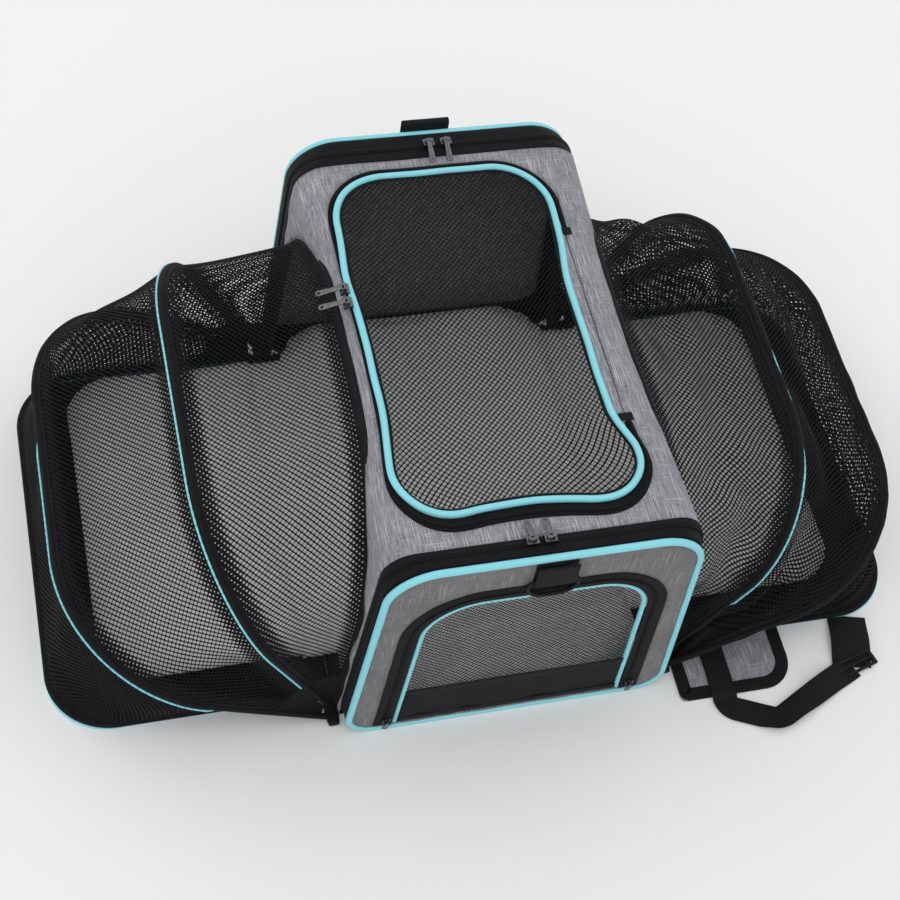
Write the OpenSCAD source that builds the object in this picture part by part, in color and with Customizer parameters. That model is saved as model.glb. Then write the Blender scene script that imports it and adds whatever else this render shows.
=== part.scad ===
// Soft pet carrier with a zipped cabin and two fold-down side wings.
// Millimetres. X right, Y to the back, Z up. Origin on the floor, under the cabin's middle.
// The wings are drawn open, flat on the floor, with their hoods spread over two bows.

/* [Cabin] */
// Length of the cabin, front to back
body_l = 460; // [400:2:520]
// Width across the floor
base_w = 304; // [260:2:340]
// Width across the top, before the edge is rounded
top_w = 264; // [230:2:300]
// Height of the cabin
body_h = 280; // [250:2:320]
// Radius of the two long top edges
top_r = 28; // [20:1:40]
// Radius of the top corners of the end panels
end_r = 46; // [24:1:60]
// Radius of the bottom corners of the end panels
foot_r = 28; // [15:1:40]
// Thickness of the padded cloth walls
cloth_t = 2; // [1.5:0.1:3]
// Width of the zip band round the front end
front_band_w = 15.5; // [12:0.5:24]
// Width of the zip band round the back end
back_band_w = 28.5; // [16:0.5:34]

/* [Piping] */
// Radius of the piping round both end panels
piping_r = 3.2; // [2:0.1:4]
// Radius of the piping round the top hatch
hatch_piping_r = 3; // [2:0.1:4]
// Radius of the piping round the front door
door_piping_r = 2.3; // [1.5:0.1:3]
// Radius of the fine piping on the bows and wings
fine_piping_r = 1.5; // [1:0.1:2]

/* [Hatch] */
// Width of the hatch, along its piping
hatch_w = 196; // [160:2:210]
// Length of the hatch, along its piping
hatch_l = 354; // [300:2:370]
// Sideways offset of the hatch
hatch_x = -9; // [-12:1:0]
// Corner radius of the hatch
hatch_r = 50; // [30:1:60]
// Width of the hatch zip tape at the sides and back
hatch_tape_w = 8.2; // [7.8:0.1:10]
// Width of the hatch zip tape at the front
hatch_tape_front_w = 14; // [8:0.5:16]
// Front end of the sewn hinge edge
hatch_hinge_front = -107; // [-130:1:-80]
// Back end of the sewn hinge edge
hatch_hinge_back = 95; // [70:1:120]

/* [Front door] */
// Half width of the door at its foot
door_foot_w = 105; // [90:1:112]
// Half width of the door at its head
door_head_w = 94; // [80:1:104]
// Height of the door's head
door_top = 222; // [190:1:224]
// Height of the door's foot
door_foot = 10.6; // [10:0.1:14]
// Corner radius of the door's head
door_r = 50; // [30:1:60]
// Width of the zip tape round the door
door_tape_w = 17; // [12:0.5:20]
// Height of the closed cloth at the door's foot
skirt_h = 58; // [30:1:90]

/* [Side openings] */
// Half length of the side opening
mouth_half_l = 195; // [180:1:196]
// Height of the side opening, along its slope
mouth_h = 268; // [240:1:270]
// Corner radius of the side opening
mouth_r = 125; // [80:1:130]
// Forward offset of the side opening
mouth_front = 4.6; // [4.4:0.1:8]
// Radius of the rolled binding round it
binding_r = 4; // [3:0.1:4.5]

/* [Wings] */
// Distance from the floor's edge to the wing hinge
hinge_out = 6; // [5:0.5:10]
// Height of the wing hinge
hinge_z = 5.4; // [5.2:0.1:6]
// Reach of the wing floor from its hinge
wing_reach = 245; // [220:1:250]
// Half length of the wing floor, along its piping
wing_half_l = 190; // [170:1:192]
// Backward offset of the wing floor
wing_y = 3; // [0:0.5:3]
// Outer corner radius of the wing floor
wing_r = 57; // [40:1:80]
// Angle of the first bow from upright
bow1_deg = 26; // [20:1:32]
// Reach of the first bow
bow1_reach = 245; // [235:1:248]
// Half length of the first bow
bow1_half_l = 201.5; // [200:0.5:202]
// Corner radius of the first bow
bow1_r = 119; // [90:1:140]
// Angle of the second bow from upright
bow2_deg = 61; // [54:1:66]
// Step from the first bow's half length to the second's, so that they nest
bow_step = 10.5; // [9.5:0.5:13]
// Step from the first bow's reach to the second's
bow_rise = 11; // [10:1:16]
// Radius of a bow in its sleeve
bow_r = 3; // [2:0.1:3.2]
// Thickness of the hood mesh
mesh_t = 1.2; // [0.8:0.1:2]

/* [Pads] */
// Thickness of the cabin pad
pad_t = 11.5; // [8:0.5:16]
// Thickness of each wing pad
wing_pad_t = 10; // [6:0.5:10]
// Reach of each wing pad from the hinge
wing_pad_reach = 198; // [160:1:205]
// Front edge of the wing pads
wing_pad_front = -150; // [-170:1:-120]
// Back edge of the wing pads
wing_pad_back = 184; // [160:1:185]

/* [Trim] */
// Width of the two webbing loops
loop_w = 35; // [25:1:40]
// Sideways offset of the front loop
loop_x = 4; // [-10:1:10]
// Radius of the front ring's bar
ring_bar_r = 1.8; // [1.4:0.1:2]
// Width of the side strap
strap_w = 38; // [25:1:40]
// Thickness of the side strap
strap_t = 1.6; // [1.2:0.1:2.5]
// Width of the binding round the side pocket
pocket_bind_w = 13; // [8:1:16]

/* [Hidden] */
$fn = 96;
seam = 0.1;                // gap between pieces sewn to each other
play = 0.3;                // gap between pieces that move past each other
half_l = body_l / 2;
hinge_x = base_w / 2 + hinge_out;
bow2_half_l = bow1_half_l + bow_step;
bow2_reach = bow1_reach + bow_rise;
bow2_r = bow1_r + 9;
slope = (base_w - top_w) / 2 / body_h;
lean = atan(slope);
skin_t = 1.2;
board_t = 3.1;
end_pipe_y = half_l - piping_r;
band_end = half_l - 2 * piping_r - seam;
front_edge = -(band_end - front_band_w);
back_edge = band_end - back_band_w;
panel_t = 2;
panel_y = half_l - 1.5;
seam_z = body_h - top_r;
buckle = [hinge_x + 183, -half_l - 12];
strap_foot = [hinge_x + 201, -170];
tail_bend = [hinge_x + 95, -half_l - 53];
tail_x = hinge_x + 50;
pocket_h = 2;
tail_w = 24;
coil_r = 1.1;
front_coil = 4.4;
back_coil = 14;
mouth_lean = -5;
mouth_foot_x = base_w / 2 - 1;
roll_r = 2;
wing_pipe_z = 3;
sleeve_r = roll_r + play + 1.1;
loop_r = roll_r + play + 2;
hatch_axis_x = hatch_x + hatch_w / 2 + hatch_piping_r + 0.6;
hatch_z = body_h + 0.5;
tape_z = body_h - 0.3;
hatch_coil_z = tape_z + coil_r + 0.05;
coil_in = hatch_piping_r + play + 4.3;
door_y = panel_y - 0.8;
door_coil = door_piping_r + play + 7;
door_coil_y = -panel_y + 0.15 - coil_r;
pad_z = skin_t + seam + board_t + 0.2;
slider_l = 10;
slider_w = 7.6;
slider_h = 4.4;
pull_drop = 16;
door_pull_drop = 11;

grey = [0.60, 0.60, 0.64];
black = [0.09, 0.09, 0.10];
aqua = [0.45, 0.83, 0.90];
white = [0.93, 0.93, 0.92];
steel = [0.42, 0.42, 0.45];

// ---------- outlines ----------
function unit(v) = v / norm(v);
function sub(P, i) = P[(i + len(P)) % len(P)];
function half_turn(a, p, b) = acos(unit(a - p) * unit(b - p)) / 2;
function run(a, p, b, r) = r / tan(half_turn(a, p, b));
function centre(a, p, b, r) = p + unit(unit(a - p) + unit(b - p)) * r / sin(half_turn(a, p, b));

// Points of an outline where each corner's curve starts and ends
function tangents(P, R) = [for (i = [0:len(P) - 1]) let (a = sub(P, i - 1), p = P[i], b = sub(P, i + 1))
  each (R[i] <= 0 ? [p] : [p + unit(a - p) * run(a, p, b, R[i]), p + unit(b - p) * run(a, p, b, R[i])])];

// A convex outline with true round corners
module rounded(P, R) {
  polygon(tangents(P, R));
  for (i = [0:len(P) - 1]) if (R[i] > 0)
    translate(centre(sub(P, i - 1), P[i], sub(P, i + 1), R[i])) circle(R[i]);
}

// Stations along a line of points with rounded corners: [x, y, normal x, normal y]
bend_n = 10;
function turned(v) = [-v.y, v.x];
function station(q, v) = [q.x, q.y, v.x, v.y];
function bend_stations(a, p, b, R) =
  let (c = centre(a, p, b, R), turn = 180 - 2 * half_turn(a, p, b),
    s = (p.x - a.x) * (b.y - p.y) - (p.y - a.y) * (b.x - p.x) > 0 ? 1 : -1,
    q = p + unit(a - p) * run(a, p, b, R) - c, start = atan2(q.y, q.x))
  [for (j = [0:bend_n]) let (d = start + s * turn * j / bend_n, v = [cos(d), sin(d)])
    station(c + R * v, -s * v)];
function open_stations(P, R) = let (n = len(P) - 1) concat(
  [station(P[0], turned(unit(P[1] - P[0])))],
  [for (i = [1:n - 1]) each bend_stations(P[i - 1], P[i], P[i + 1], R[i])],
  [station(P[n], turned(unit(P[n] - P[n - 1])))]);
function loop_stations(P, R) =
  [for (i = [0:len(P) - 1]) each bend_stations(sub(P, i - 1), P[i], sub(P, i + 1), R[i])];

// A round cord through a list of stations
module cord(S, r, closed, sides = 12) {
  n = len(S);
  points = [for (q = S, k = [0:sides - 1]) let (d = 360 * (k + 0.5) / sides)
    [q[0] + q[2] * r * cos(d), q[1] + q[3] * r * cos(d), r * sin(d)]];
  polyhedron(points, concat(
    [for (i = [0:closed ? n - 1 : n - 2], k = [0:sides - 1])
      let (a = i * sides + k, b = i * sides + (k + 1) % sides,
        c = ((i + 1) % n) * sides + (k + 1) % sides, d = ((i + 1) % n) * sides + k)
        each [[a, c, b], [a, d, c]]],
    closed ? [] : [[for (k = [0:sides - 1]) k], [for (k = [sides - 1:-1:0]) (n - 1) * sides + k]]));
}
module cord_along(P, R, r) cord(open_stations(P, R), r, false);
module cord_round(P, R, r) cord(loop_stations(P, R), r, true);

// The cabin's end outline, drawn i inside itself
function half_w(z) = base_w / 2 - slope * z;
function end_points(i, foot = 0) = let (side = i / cos(lean), z0 = foot + i, z1 = body_h - i)
  [[-half_w(z0) + side, z0], [half_w(z0) - side, z0], [half_w(z1) - side, z1], [-half_w(z1) + side, z1]];
function end_radii(i, r = end_r) = [foot_r - i, foot_r - i, r - i, r - i];
module end_shape(i, r = end_r) rounded(end_points(i), end_radii(i, r));
module open_shape(i) rounded(end_points(i, -20 - i), [0, 0, top_r - i, top_r - i]);

// Turns a drawing of x and z to stand across the bag, from y0 to y1
module across(y0, y1) translate([0, y1, 0]) rotate([90, 0, 0]) linear_extrude(y1 - y0) children();

// Turns a drawing of y and z to stand along the bag
module along_bag() rotate([90, 0, 90]) children();

function arch(half, h, foot = 0) = [[-half, foot], [-half, h], [half, h], [half, foot]];
function arch_radii(r) = [0, r, r, 0];

// ---------- cabin ----------
module base_board() color(black) {
  plan(base_w / 2 - 0.1, 0, skin_t, 3);
  plan(base_w / 2 - cloth_t - 0.6, skin_t, board_t + seam, 8);
}

module plan(half, z, t, r) {
  y0 = front_edge + seam;
  y1 = back_edge - seam;
  translate([0, 0, z]) linear_extrude(t)
    rounded([[-half, y0], [half, y0], [half, y1], [-half, y1]], [r, r, r, r]);
}

module cabin_pad() color(white) {
  w = base_w / 2 - cloth_t - 7.5;
  l = half_l - 9;
  r = 60;
  translate([0, 0, pad_z]) linear_extrude(pad_t)
    rounded([[-w, -l], [w, -l], [w, l], [-w, l]], [r, r, r, r]);
}

// The cloth between the zip bands, from z0 to z1
module wall_ring(z0, z1) across(front_edge, back_edge) difference() {
  open_shape(0);
  open_shape(cloth_t);
  translate([-base_w, -50]) square([2 * base_w, 50 + z0]);
  if (z1 < body_h) translate([-base_w, z1]) square([2 * base_w, 100]);
}

// What the two side openings take away
module mouth_cut(gap = 1.2) {
  o = binding_r + gap;
  S = open_stations(arch(mouth_half_l + o, mouth_h + o, -20), arch_radii(mouth_r + o));
  translate([-base_w, -mouth_front, 0]) along_bag() linear_extrude(2 * base_w)
    polygon([for (q = S) [q[0], q[1]]]);
}

module top_panel() color(grey) difference() {
  wall_ring(seam_z, body_h + 1);
  mouth_cut();
  translate([0, 0, body_h - 10]) linear_extrude(20) difference() {
    hatch_tape_edge(seam);
    hatch_hinge_zone(hatch_piping_r + play, 0);
  }
}

module side_walls() color(grey) difference() {
  wall_ring(skin_t + seam, seam_z - seam);
  mouth_cut();
}

function hatch_points(i) = let (w = hatch_w / 2 + i, l = hatch_l / 2 + i)
  [[hatch_x - w, -l], [hatch_x + w, -l], [hatch_x + w, l], [hatch_x - w, l]];
function hatch_radii(i) = [for (k = [0:3]) hatch_r + i];
module hatch_shape(i) rounded(hatch_points(i), hatch_radii(i));

// Outer edge of the hatch zip tape, which is wider at the front
module hatch_tape_edge(gap) {
  i = hatch_piping_r + play + hatch_tape_w + gap;
  w = hatch_w / 2 + i;
  l = hatch_l / 2 + i;
  f = l + hatch_tape_front_w - hatch_tape_w;
  rounded([[hatch_x - w, -f], [hatch_x + w, -f], [hatch_x + w, l], [hatch_x - w, l]],
    [for (k = [0:3]) hatch_r + i]);
}

// Where the hatch is sewn to the top instead of zipped, from i outside its outline
module hatch_hinge_zone(i, gap) translate([hatch_x + hatch_w / 2 + i, hatch_hinge_front - gap])
  square([30, hatch_hinge_back - hatch_hinge_front + 2 * gap]);

module hatch_zip() color(black) {
  translate([0, 0, tape_z - 1.4]) linear_extrude(1.4) difference() {
    hatch_tape_edge(0);
    hatch_shape(hatch_piping_r + play);
    hatch_hinge_zone(0, seam);
  }
  P = hatch_points(coil_in);
  R = hatch_radii(coil_in);
  translate([0, 0, hatch_coil_z]) cord_along(
    [[P[1].x, hatch_hinge_front - 3], P[1], P[0], P[3], P[2], [P[2].x, hatch_hinge_back + 3]],
    [0, R[1], R[0], R[3], R[2], 0], coil_r);
}

module hatch_mesh() color(black) translate([0, 0, body_h - 1]) linear_extrude(1)
  hatch_shape(-hatch_piping_r - seam);

module hatch_piping() color(aqua) translate([0, 0, hatch_z])
  cord_round(hatch_points(0), hatch_radii(0), hatch_piping_r);

// ---------- end panels ----------
function door_half(z) =
  door_foot_w - (door_foot_w - door_head_w) * (z - door_foot) / (door_top - door_foot);
function door_points(i, foot) =
  let (x0 = door_half(foot) + i, z1 = door_top + i, x1 = door_half(z1) + i)
  [[-x0, foot], [-x1, z1], [x1, z1], [x0, foot]];
function door_radii(i) = [0, door_r + i, door_r + i, 0];
module door_shape(i, foot) rounded(door_points(i, foot), door_radii(i));

module end_panel(s) mirror([0, s, 0]) across(-panel_y, -panel_y + panel_t) difference() {
  end_shape(2 * piping_r + seam);
  if (s == 0) door_shape(door_piping_r + play + door_tape_w + seam, door_foot - 0.6);
}
module front_panel() color(grey) end_panel(0);
module back_panel() color(grey) end_panel(1);

module end_piping(s) mirror([0, s, 0]) translate([0, -end_pipe_y, 0]) rotate([90, 0, 0])
  cord_round(end_points(piping_r), end_radii(piping_r), piping_r);
module front_piping() color(aqua) end_piping(0);
module back_piping() color(aqua) end_piping(1);

// The band's top corners open out from the cabin's radius to the end panel's
module zip_band(w, coil_in) {
  y0 = -band_end;
  y1 = y0 + w - seam;
  function edge(i, r, y) = [for (q = loop_stations(end_points(i), end_radii(i, r))) [q[0], y, q[1]]];
  color(black) panel_between(edge(0, end_r, y0), edge(cloth_t, end_r, y0),
    edge(0, top_r, y1), edge(cloth_t, top_r, y1), true);
  r = top_r + (end_r - top_r) * coil_in / w;
  P = end_points(-coil_r - 0.05);
  foot = foot_r + 4;
  x = half_w(foot) + coil_r + 0.05;
  color(black) translate([0, y1 - coil_in, 0]) rotate([90, 0, 0])
    cord_along([[-x, foot], P[3], P[2], [x, foot]], [0, r + coil_r, r + coil_r, 0], coil_r);
}
module front_zip() zip_band(front_band_w, front_coil);
module back_zip() mirror([0, 1, 0]) zip_band(back_band_w, back_coil);

module wire_frames() color(steel) for (s = [0, 1]) mirror([0, s, 0])
  translate([0, -panel_y + panel_t + 1.7, 0]) rotate([90, 0, 0]) {
    i = 2 * piping_r + 1.8;
    P = end_points(i);
    foot = foot_r + 6;
    x = half_w(foot) - i / cos(lean);
    cord_along([[-x, foot], P[3], P[2], [x, foot]], [0, end_r - i, end_r - i, 0], 1.5);
  }

module door_zip() color(black) {
  across(-panel_y + 0.2, -panel_y + 1.6) difference() {
    door_shape(door_piping_r + play + door_tape_w, door_foot - 0.5);
    door_shape(door_piping_r + play, -10);
  }
  translate([0, door_coil_y, 0]) rotate([90, 0, 0])
    cord_along(door_points(door_coil, door_foot + 6), door_radii(door_coil), coil_r);
}

module door_piping() color(aqua) translate([0, -door_y, 0]) rotate([90, 0, 0])
  cord_along(door_points(0, door_foot + 0.2), door_radii(0), door_piping_r);

// The door's filling, inside its piping
door_in = door_piping_r + seam;
function door_fill(z0, z1) = let (x0 = door_half(z0) - door_in, x1 = door_half(z1) - door_in)
  [[-x0, z0], [-x1, z1], [x1, z1], [x0, z0]];
module door_mesh() color(black) across(-door_y - 0.4, -door_y + 0.8)
  polygon([for (q = open_stations(door_fill(door_foot + skirt_h + seam, door_top - door_in),
    arch_radii(door_r - door_in))) [q[0], q[1]]]);
module door_skirt() color(black) across(-door_y - 0.4, -door_y + 0.8)
  polygon(door_fill(door_foot, door_foot + skirt_h));

// ---------- side openings and hoods ----------
// Puts a drawing of y and reach in the plane of a bow that leans deg out from upright
module in_plane(side, x, z, deg) mirror([side < 0 ? 1 : 0, 0, 0]) translate([x, 0, z])
  rotate([0, deg, 0]) along_bag() children();

module opening_bindings() color(black) for (s = [-1, 1])
  in_plane(s, mouth_foot_x, 0, mouth_lean) translate([-mouth_front, 0, 0])
    cord_along(arch(mouth_half_l, mouth_h, 8), arch_radii(mouth_r), binding_r);

module hinge_rolls() color(black) for (s = [0, 1]) mirror([s, 0, 0]) {
  l = bow2_half_l + 6;
  translate([hinge_x, l, hinge_z]) rotate([90, 0, 0]) cylinder(r = roll_r, h = 2 * l);
  translate([base_w / 2, -l, skin_t + seam]) cube([1.2, 2 * l, hinge_z + 1.2 - skin_t - seam]);
  for (y = [-l, -bow1_half_l + 4, bow1_half_l - 6.4, l - 2.4])
    translate([base_w / 2 + 0.5, y, hinge_z - 1.2]) cube([hinge_x - base_w / 2 - 0.5, 2.4, 2.4]);
}

module bow(side, deg, half, reach, r) in_plane(side, hinge_x, hinge_z, deg) {
  cord_along(arch(half, reach, loop_r - 1), arch_radii(r), bow_r);
  out = bow_r + fine_piping_r + 0.05;
  cord_along(arch(half + out, reach + out, 60), arch_radii(r + out), fine_piping_r);
  for (y = [-half, half]) translate([y, 0, 0]) rotate([0, 90, 0]) difference() {
    cylinder(r = loop_r, h = 2 * bow_r, center = true);
    cylinder(r = roll_r + play, h = 20, center = true);
  }
}
module left_bow_1() color(black) bow(-1, bow1_deg, bow1_half_l, bow1_reach, bow1_r);
module right_bow_1() color(black) bow(1, bow1_deg, bow1_half_l, bow1_reach, bow1_r);
module left_bow_2() color(black) bow(-1, bow2_deg, bow2_half_l, bow2_reach, bow2_r);
module right_bow_2() color(black) bow(1, bow2_deg, bow2_half_l, bow2_reach, bow2_r);

// Points of y and reach up one leg of a bow, over its top and down the other leg
function bow_line(half, h, r, foot, n = bend_n) = concat(
  [for (i = [0:3]) [-half, foot + (h - r - foot) * i / 4]],
  [for (i = [0:n]) [-half + r - r * cos(90 * i / n), h - r + r * sin(90 * i / n)]],
  [for (i = [1:5]) [(half - r) * (2 * i / 6 - 1), h]],
  [for (i = [0:n]) [half - r + r * sin(90 * i / n), h - r + r * cos(90 * i / n)]],
  [for (i = [3:-1:0]) [half, foot + (h - r - foot) * i / 4]]);
function lift(L, x, z, deg, dy = 0) = [for (p = L) [x + p.y * sin(deg), p.x + dy, z + p.y * cos(deg)]];
function shift_to(A, B, d) = [for (i = [0:len(A) - 1]) A[i] + unit(B[i] - A[i]) * d];

// Cloth pulled straight between two lines, each given as an outer and an inner edge
module panel_between(Ao, Ai, Bo, Bi, closed = false) {
  n = len(Ao);
  function quad(a, b, c, d) = [[a, b, c], [a, c, d]];
  polyhedron(concat(Ao, Bo, Bi, Ai), concat(
    [for (k = [0:3], i = [0:closed ? n - 1 : n - 2]) let (u = k * n, v = ((k + 1) % 4) * n, j = (i + 1) % n)
      each k == 2 ? quad(u + j, v + j, v + i, u + i) : quad(u + i, u + j, v + j, v + i)],
    closed ? [] : concat(quad(0, n, 2 * n, 3 * n), quad(4 * n - 1, 3 * n - 1, 2 * n - 1, n - 1))));
}

// One gore of a hood, clear of the cords at both its edges by ga and gb, sagging in between them
// A and B are [half length, reach, corner radius, hinge x, hinge z, angle, y offset]
gore_rows = 4;
module gore(side, A, B, ga, gb, foot, sag) {
  function line(S, o) = lift(bow_line(S[0] + o, S[1] + o, S[2] + o, foot), S[3], S[4], S[5], S[6]);
  function along(L, i) = L[min(i + 1, len(L) - 1)] - L[max(i - 1, 0)];
  function row(P, Q, k) = let (v = k / gore_rows) [for (i = [0:len(P) - 1])
    let (in = unit(cross(along(P, i) + along(Q, i), Q[i] - P[i])))
    P[i] + (Q[i] - P[i]) * v + in * sag * norm(Q[i] - P[i]) * 4 * v * (1 - v)];
  function rows(o) = let (a = line(A, o), b = line(B, o), P = shift_to(a, b, ga), Q = shift_to(b, a, gb))
    [for (k = [0:gore_rows]) each row(P, Q, k)];
  n = len(line(A, 0));
  outer = rows(mesh_t / 2);
  m = len(outer);
  function sheet(s, flip) = [for (k = [0:gore_rows - 1], i = [0:n - 2])
    let (a = s + k * n + i, b = a + 1, c = b + n, d = a + n)
    each flip ? [[a, c, b], [a, d, c]] : [[a, b, c], [a, c, d]]];
  function rim(E) = [for (i = [0:len(E) - 2]) let (a = E[i], b = E[i + 1])
    each [[b, a, a + m], [b, a + m, b + m]]];
  last = gore_rows * n;
  color(black) mirror([side < 0 ? 1 : 0, 0, 0]) polyhedron(concat(outer, rows(-mesh_t / 2)),
    concat(sheet(0, false), sheet(m, true), rim([for (i = [0:n - 1]) i]),
      rim([for (k = [0:gore_rows]) n - 1 + k * n]), rim([for (i = [n - 1:-1:0]) last + i]),
      rim([for (k = [gore_rows:-1:0]) k * n])));
}
mouth_line = [mouth_half_l, mouth_h, mouth_r, mouth_foot_x, 0, mouth_lean, -mouth_front];
bow1_line = [bow1_half_l, bow1_reach, bow1_r, hinge_x, hinge_z, bow1_deg, 0];
bow2_line = [bow2_half_l, bow2_reach, bow2_r, hinge_x, hinge_z, bow2_deg, 0];
wing_line = [wing_half_l, wing_reach - fine_piping_r, wing_r, hinge_x, wing_pipe_z, 90, wing_y];

hood_gap = 0.8;
hood_sag = 0.05;           // how far a gore sags, as a share of its width
slack_sag = 0.08;          // the same on the right side, which hangs slacker
module hood_a(side) gore(side, mouth_line, bow1_line, binding_r + hood_gap, bow_r + hood_gap, 22,
  side < 0 ? hood_sag : slack_sag);
module hood_b(side) gore(side, bow1_line, bow2_line, bow_r + hood_gap, bow_r + hood_gap, 22,
  side < 0 ? hood_sag : slack_sag);
module hood_c(side) gore(side, bow2_line, wing_line, bow_r + hood_gap, fine_piping_r + 1.5, 30,
  side < 0 ? hood_sag : slack_sag);
module left_hood_a() hood_a(-1);
module right_hood_a() hood_a(1);
module left_hood_b() hood_b(-1);
module right_hood_b() hood_b(1);
module left_hood_c() hood_c(-1);
module right_hood_c() hood_c(1);

// ---------- wings ----------
// A flat piece of the wing floor, from the hinge side x0 to the reach x1
module wing_plan(side, x0, x1, y0, y1, r, r0, z0, z1) mirror([side < 0 ? 1 : 0, 0, 0])
  translate([hinge_x, 0, z0]) linear_extrude(z1 - z0)
    rounded([[x0, y0], [x1, y0], [x1, y1], [x0, y1]], [r0, r, r, r0]);

wing_in = fine_piping_r + play;
sleeve_half_l = wing_half_l - 4;
board_top = 5.6;
module wing_floor(side, z0, z1, x0) wing_plan(side, x0, wing_reach - fine_piping_r - wing_in,
  wing_y - wing_half_l + wing_in, wing_y + wing_half_l - wing_in, wing_r - wing_in, 0, z0, z1);

module wing_board(side) color(black) {
  wing_floor(side, 1, board_top, sleeve_r - 0.6);
  mirror([side < 0 ? 1 : 0, 0, 0]) translate([hinge_x, wing_y + sleeve_half_l, hinge_z]) rotate([90, 0, 0])
    difference() {
      cylinder(r = sleeve_r, h = 2 * sleeve_half_l);
      translate([0, 0, -1]) cylinder(r = roll_r + play, h = 2 * sleeve_half_l + 2);
    }
}
module left_wing_board() wing_board(-1);
module right_wing_board() wing_board(1);
module left_wing_skin() color(grey) wing_floor(-1, 0, 1 - seam, sleeve_r + 0.4);
module right_wing_skin() color(grey) wing_floor(1, 0, 1 - seam, sleeve_r + 0.4);

module wing_piping(side) color(aqua) in_plane(side, hinge_x, wing_pipe_z, 90) translate([wing_y, 0, 0])
  cord_along(arch(wing_half_l, wing_reach - fine_piping_r, 8), arch_radii(wing_r), fine_piping_r);
module left_wing_piping() wing_piping(-1);
module right_wing_piping() wing_piping(1);

module wing_pad(side) color(white) wing_plan(side, 8, wing_pad_reach, wing_pad_front, wing_pad_back,
  50, 12, board_top + 0.2, board_top + 0.2 + wing_pad_t);
module left_wing_pad() wing_pad(-1);
module right_wing_pad() wing_pad(1);

// ---------- side pocket and strap, at the front of the right wing ----------
pocket_front = -half_l - 20;
pocket_in = hinge_x + 8;
pocket_out = hinge_x + 123;
pocket_back = wing_y - wing_half_l - fine_piping_r - seam;
module pocket_shape(i) rounded([[pocket_in, pocket_back], [pocket_in, pocket_front + i],
  [pocket_out - i, pocket_front + i], [pocket_out - i, pocket_back]], [0, 6, 30 - i, 0]);
module side_pocket() color(grey) {
  linear_extrude(1.2) pocket_shape(0);
  linear_extrude(pocket_h) difference() {
    pocket_shape(0);
    pocket_shape(pocket_bind_w);
  }
}

// Webbing of width w lying flat along a line of points with rounded corners
module ribbon(P, R, w, z) translate([0, 0, z]) linear_extrude(strap_t) {
  S = open_stations(P, R);
  n = len(S) - 1;
  polygon(concat([for (q = S) [q[0] + q[2] * w / 2, q[1] + q[3] * w / 2]],
    [for (i = [n:-1:0]) [S[i][0] - S[i][2] * w / 2, S[i][1] - S[i][3] * w / 2]]));
}

// From under the wing's rounded corner to the adjuster, then round and over the pocket
strap_z = 0.2;
module side_strap() color(black) {
  difference() {
    ribbon([strap_foot, buckle], [0, 0], strap_w, strap_z);
    wing_plan(1, -10, wing_reach + seam, wing_y - wing_half_l - wing_in, wing_half_l,
      wing_r + wing_in, 0, -1, 9);
  }
  x = tail_x;
  y = pocket_front - seam - strap_t;
  top = pocket_h + seam;
  turn = tail_w / 2 + 2;
  ribbon([buckle, tail_bend, [x, y - tail_w / 2], [x, y + seam]], [0, turn, turn, 0], tail_w, strap_z);
  translate([x - tail_w / 2, y, strap_z]) cube([tail_w, strap_t, top + strap_t - strap_z]);
  translate([x - tail_w / 2, y, top]) cube([tail_w, pocket_back - y, strap_t]);
}

adjuster_l = strap_w + 10;
adjuster_w = 16;
module strap_adjuster() color(black)
  translate([buckle.x, buckle.y, strap_z + strap_t + seam]) rotate([0, 0, 16]) difference() {
    translate([-adjuster_l / 2, -adjuster_w / 2, 0]) cube([adjuster_l, adjuster_w, 3.6]);
    for (y = [-5.6, 1]) translate([3.6 - adjuster_l / 2, y, -1]) cube([adjuster_l - 7.2, 4.6, 6]);
  }

// ---------- webbing loops and ring ----------
ring_z = body_h - 31;
ring_half_w = 21;
ring_drop = 21.8;
back_loop_w = 44;
back_loop_x = -27;
ring_y = -panel_y - 0.3 - 1.5 - play - ring_bar_r;
module strap_loops() color(black) {
  front_loop();
  back_loop();
}
module front_loop() {
  r0 = ring_bar_r + play;
  r1 = r0 + 1.4;
  top = body_h - 2 * piping_r - seam;
  translate([loop_x - loop_w / 2, 0, 0]) along_bag() linear_extrude(loop_w) difference() {
    union() {
      translate([ring_y, ring_z]) circle(r1);
      translate([ring_y - r1, ring_z]) square([2 * r1, top - ring_z]);
    }
    translate([ring_y, ring_z]) circle(r0);
    translate([ring_y - r0, ring_z]) square([2 * r0, top - ring_z - 4]);
  }
}
module d_ring() color(black) translate([loop_x, ring_y, 0]) rotate([90, 0, 0])
  cord_round([[-ring_half_w, ring_z], [ring_half_w, ring_z], [ring_half_w, ring_z - ring_drop],
    [-ring_half_w, ring_z - ring_drop]], [4, 4, 15, 15], ring_bar_r);

module back_loop() translate([back_loop_x, half_l + seam, body_h - 12]) along_bag()
  linear_extrude(back_loop_w)
  difference() {
    union() {
      square([7, 16]);
      translate([3.5, 16]) circle(3.5);
    }
    translate([3.5, 16]) circle(2.1);
    translate([1.4, 4]) square([4.2, 12]);
  }

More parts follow.
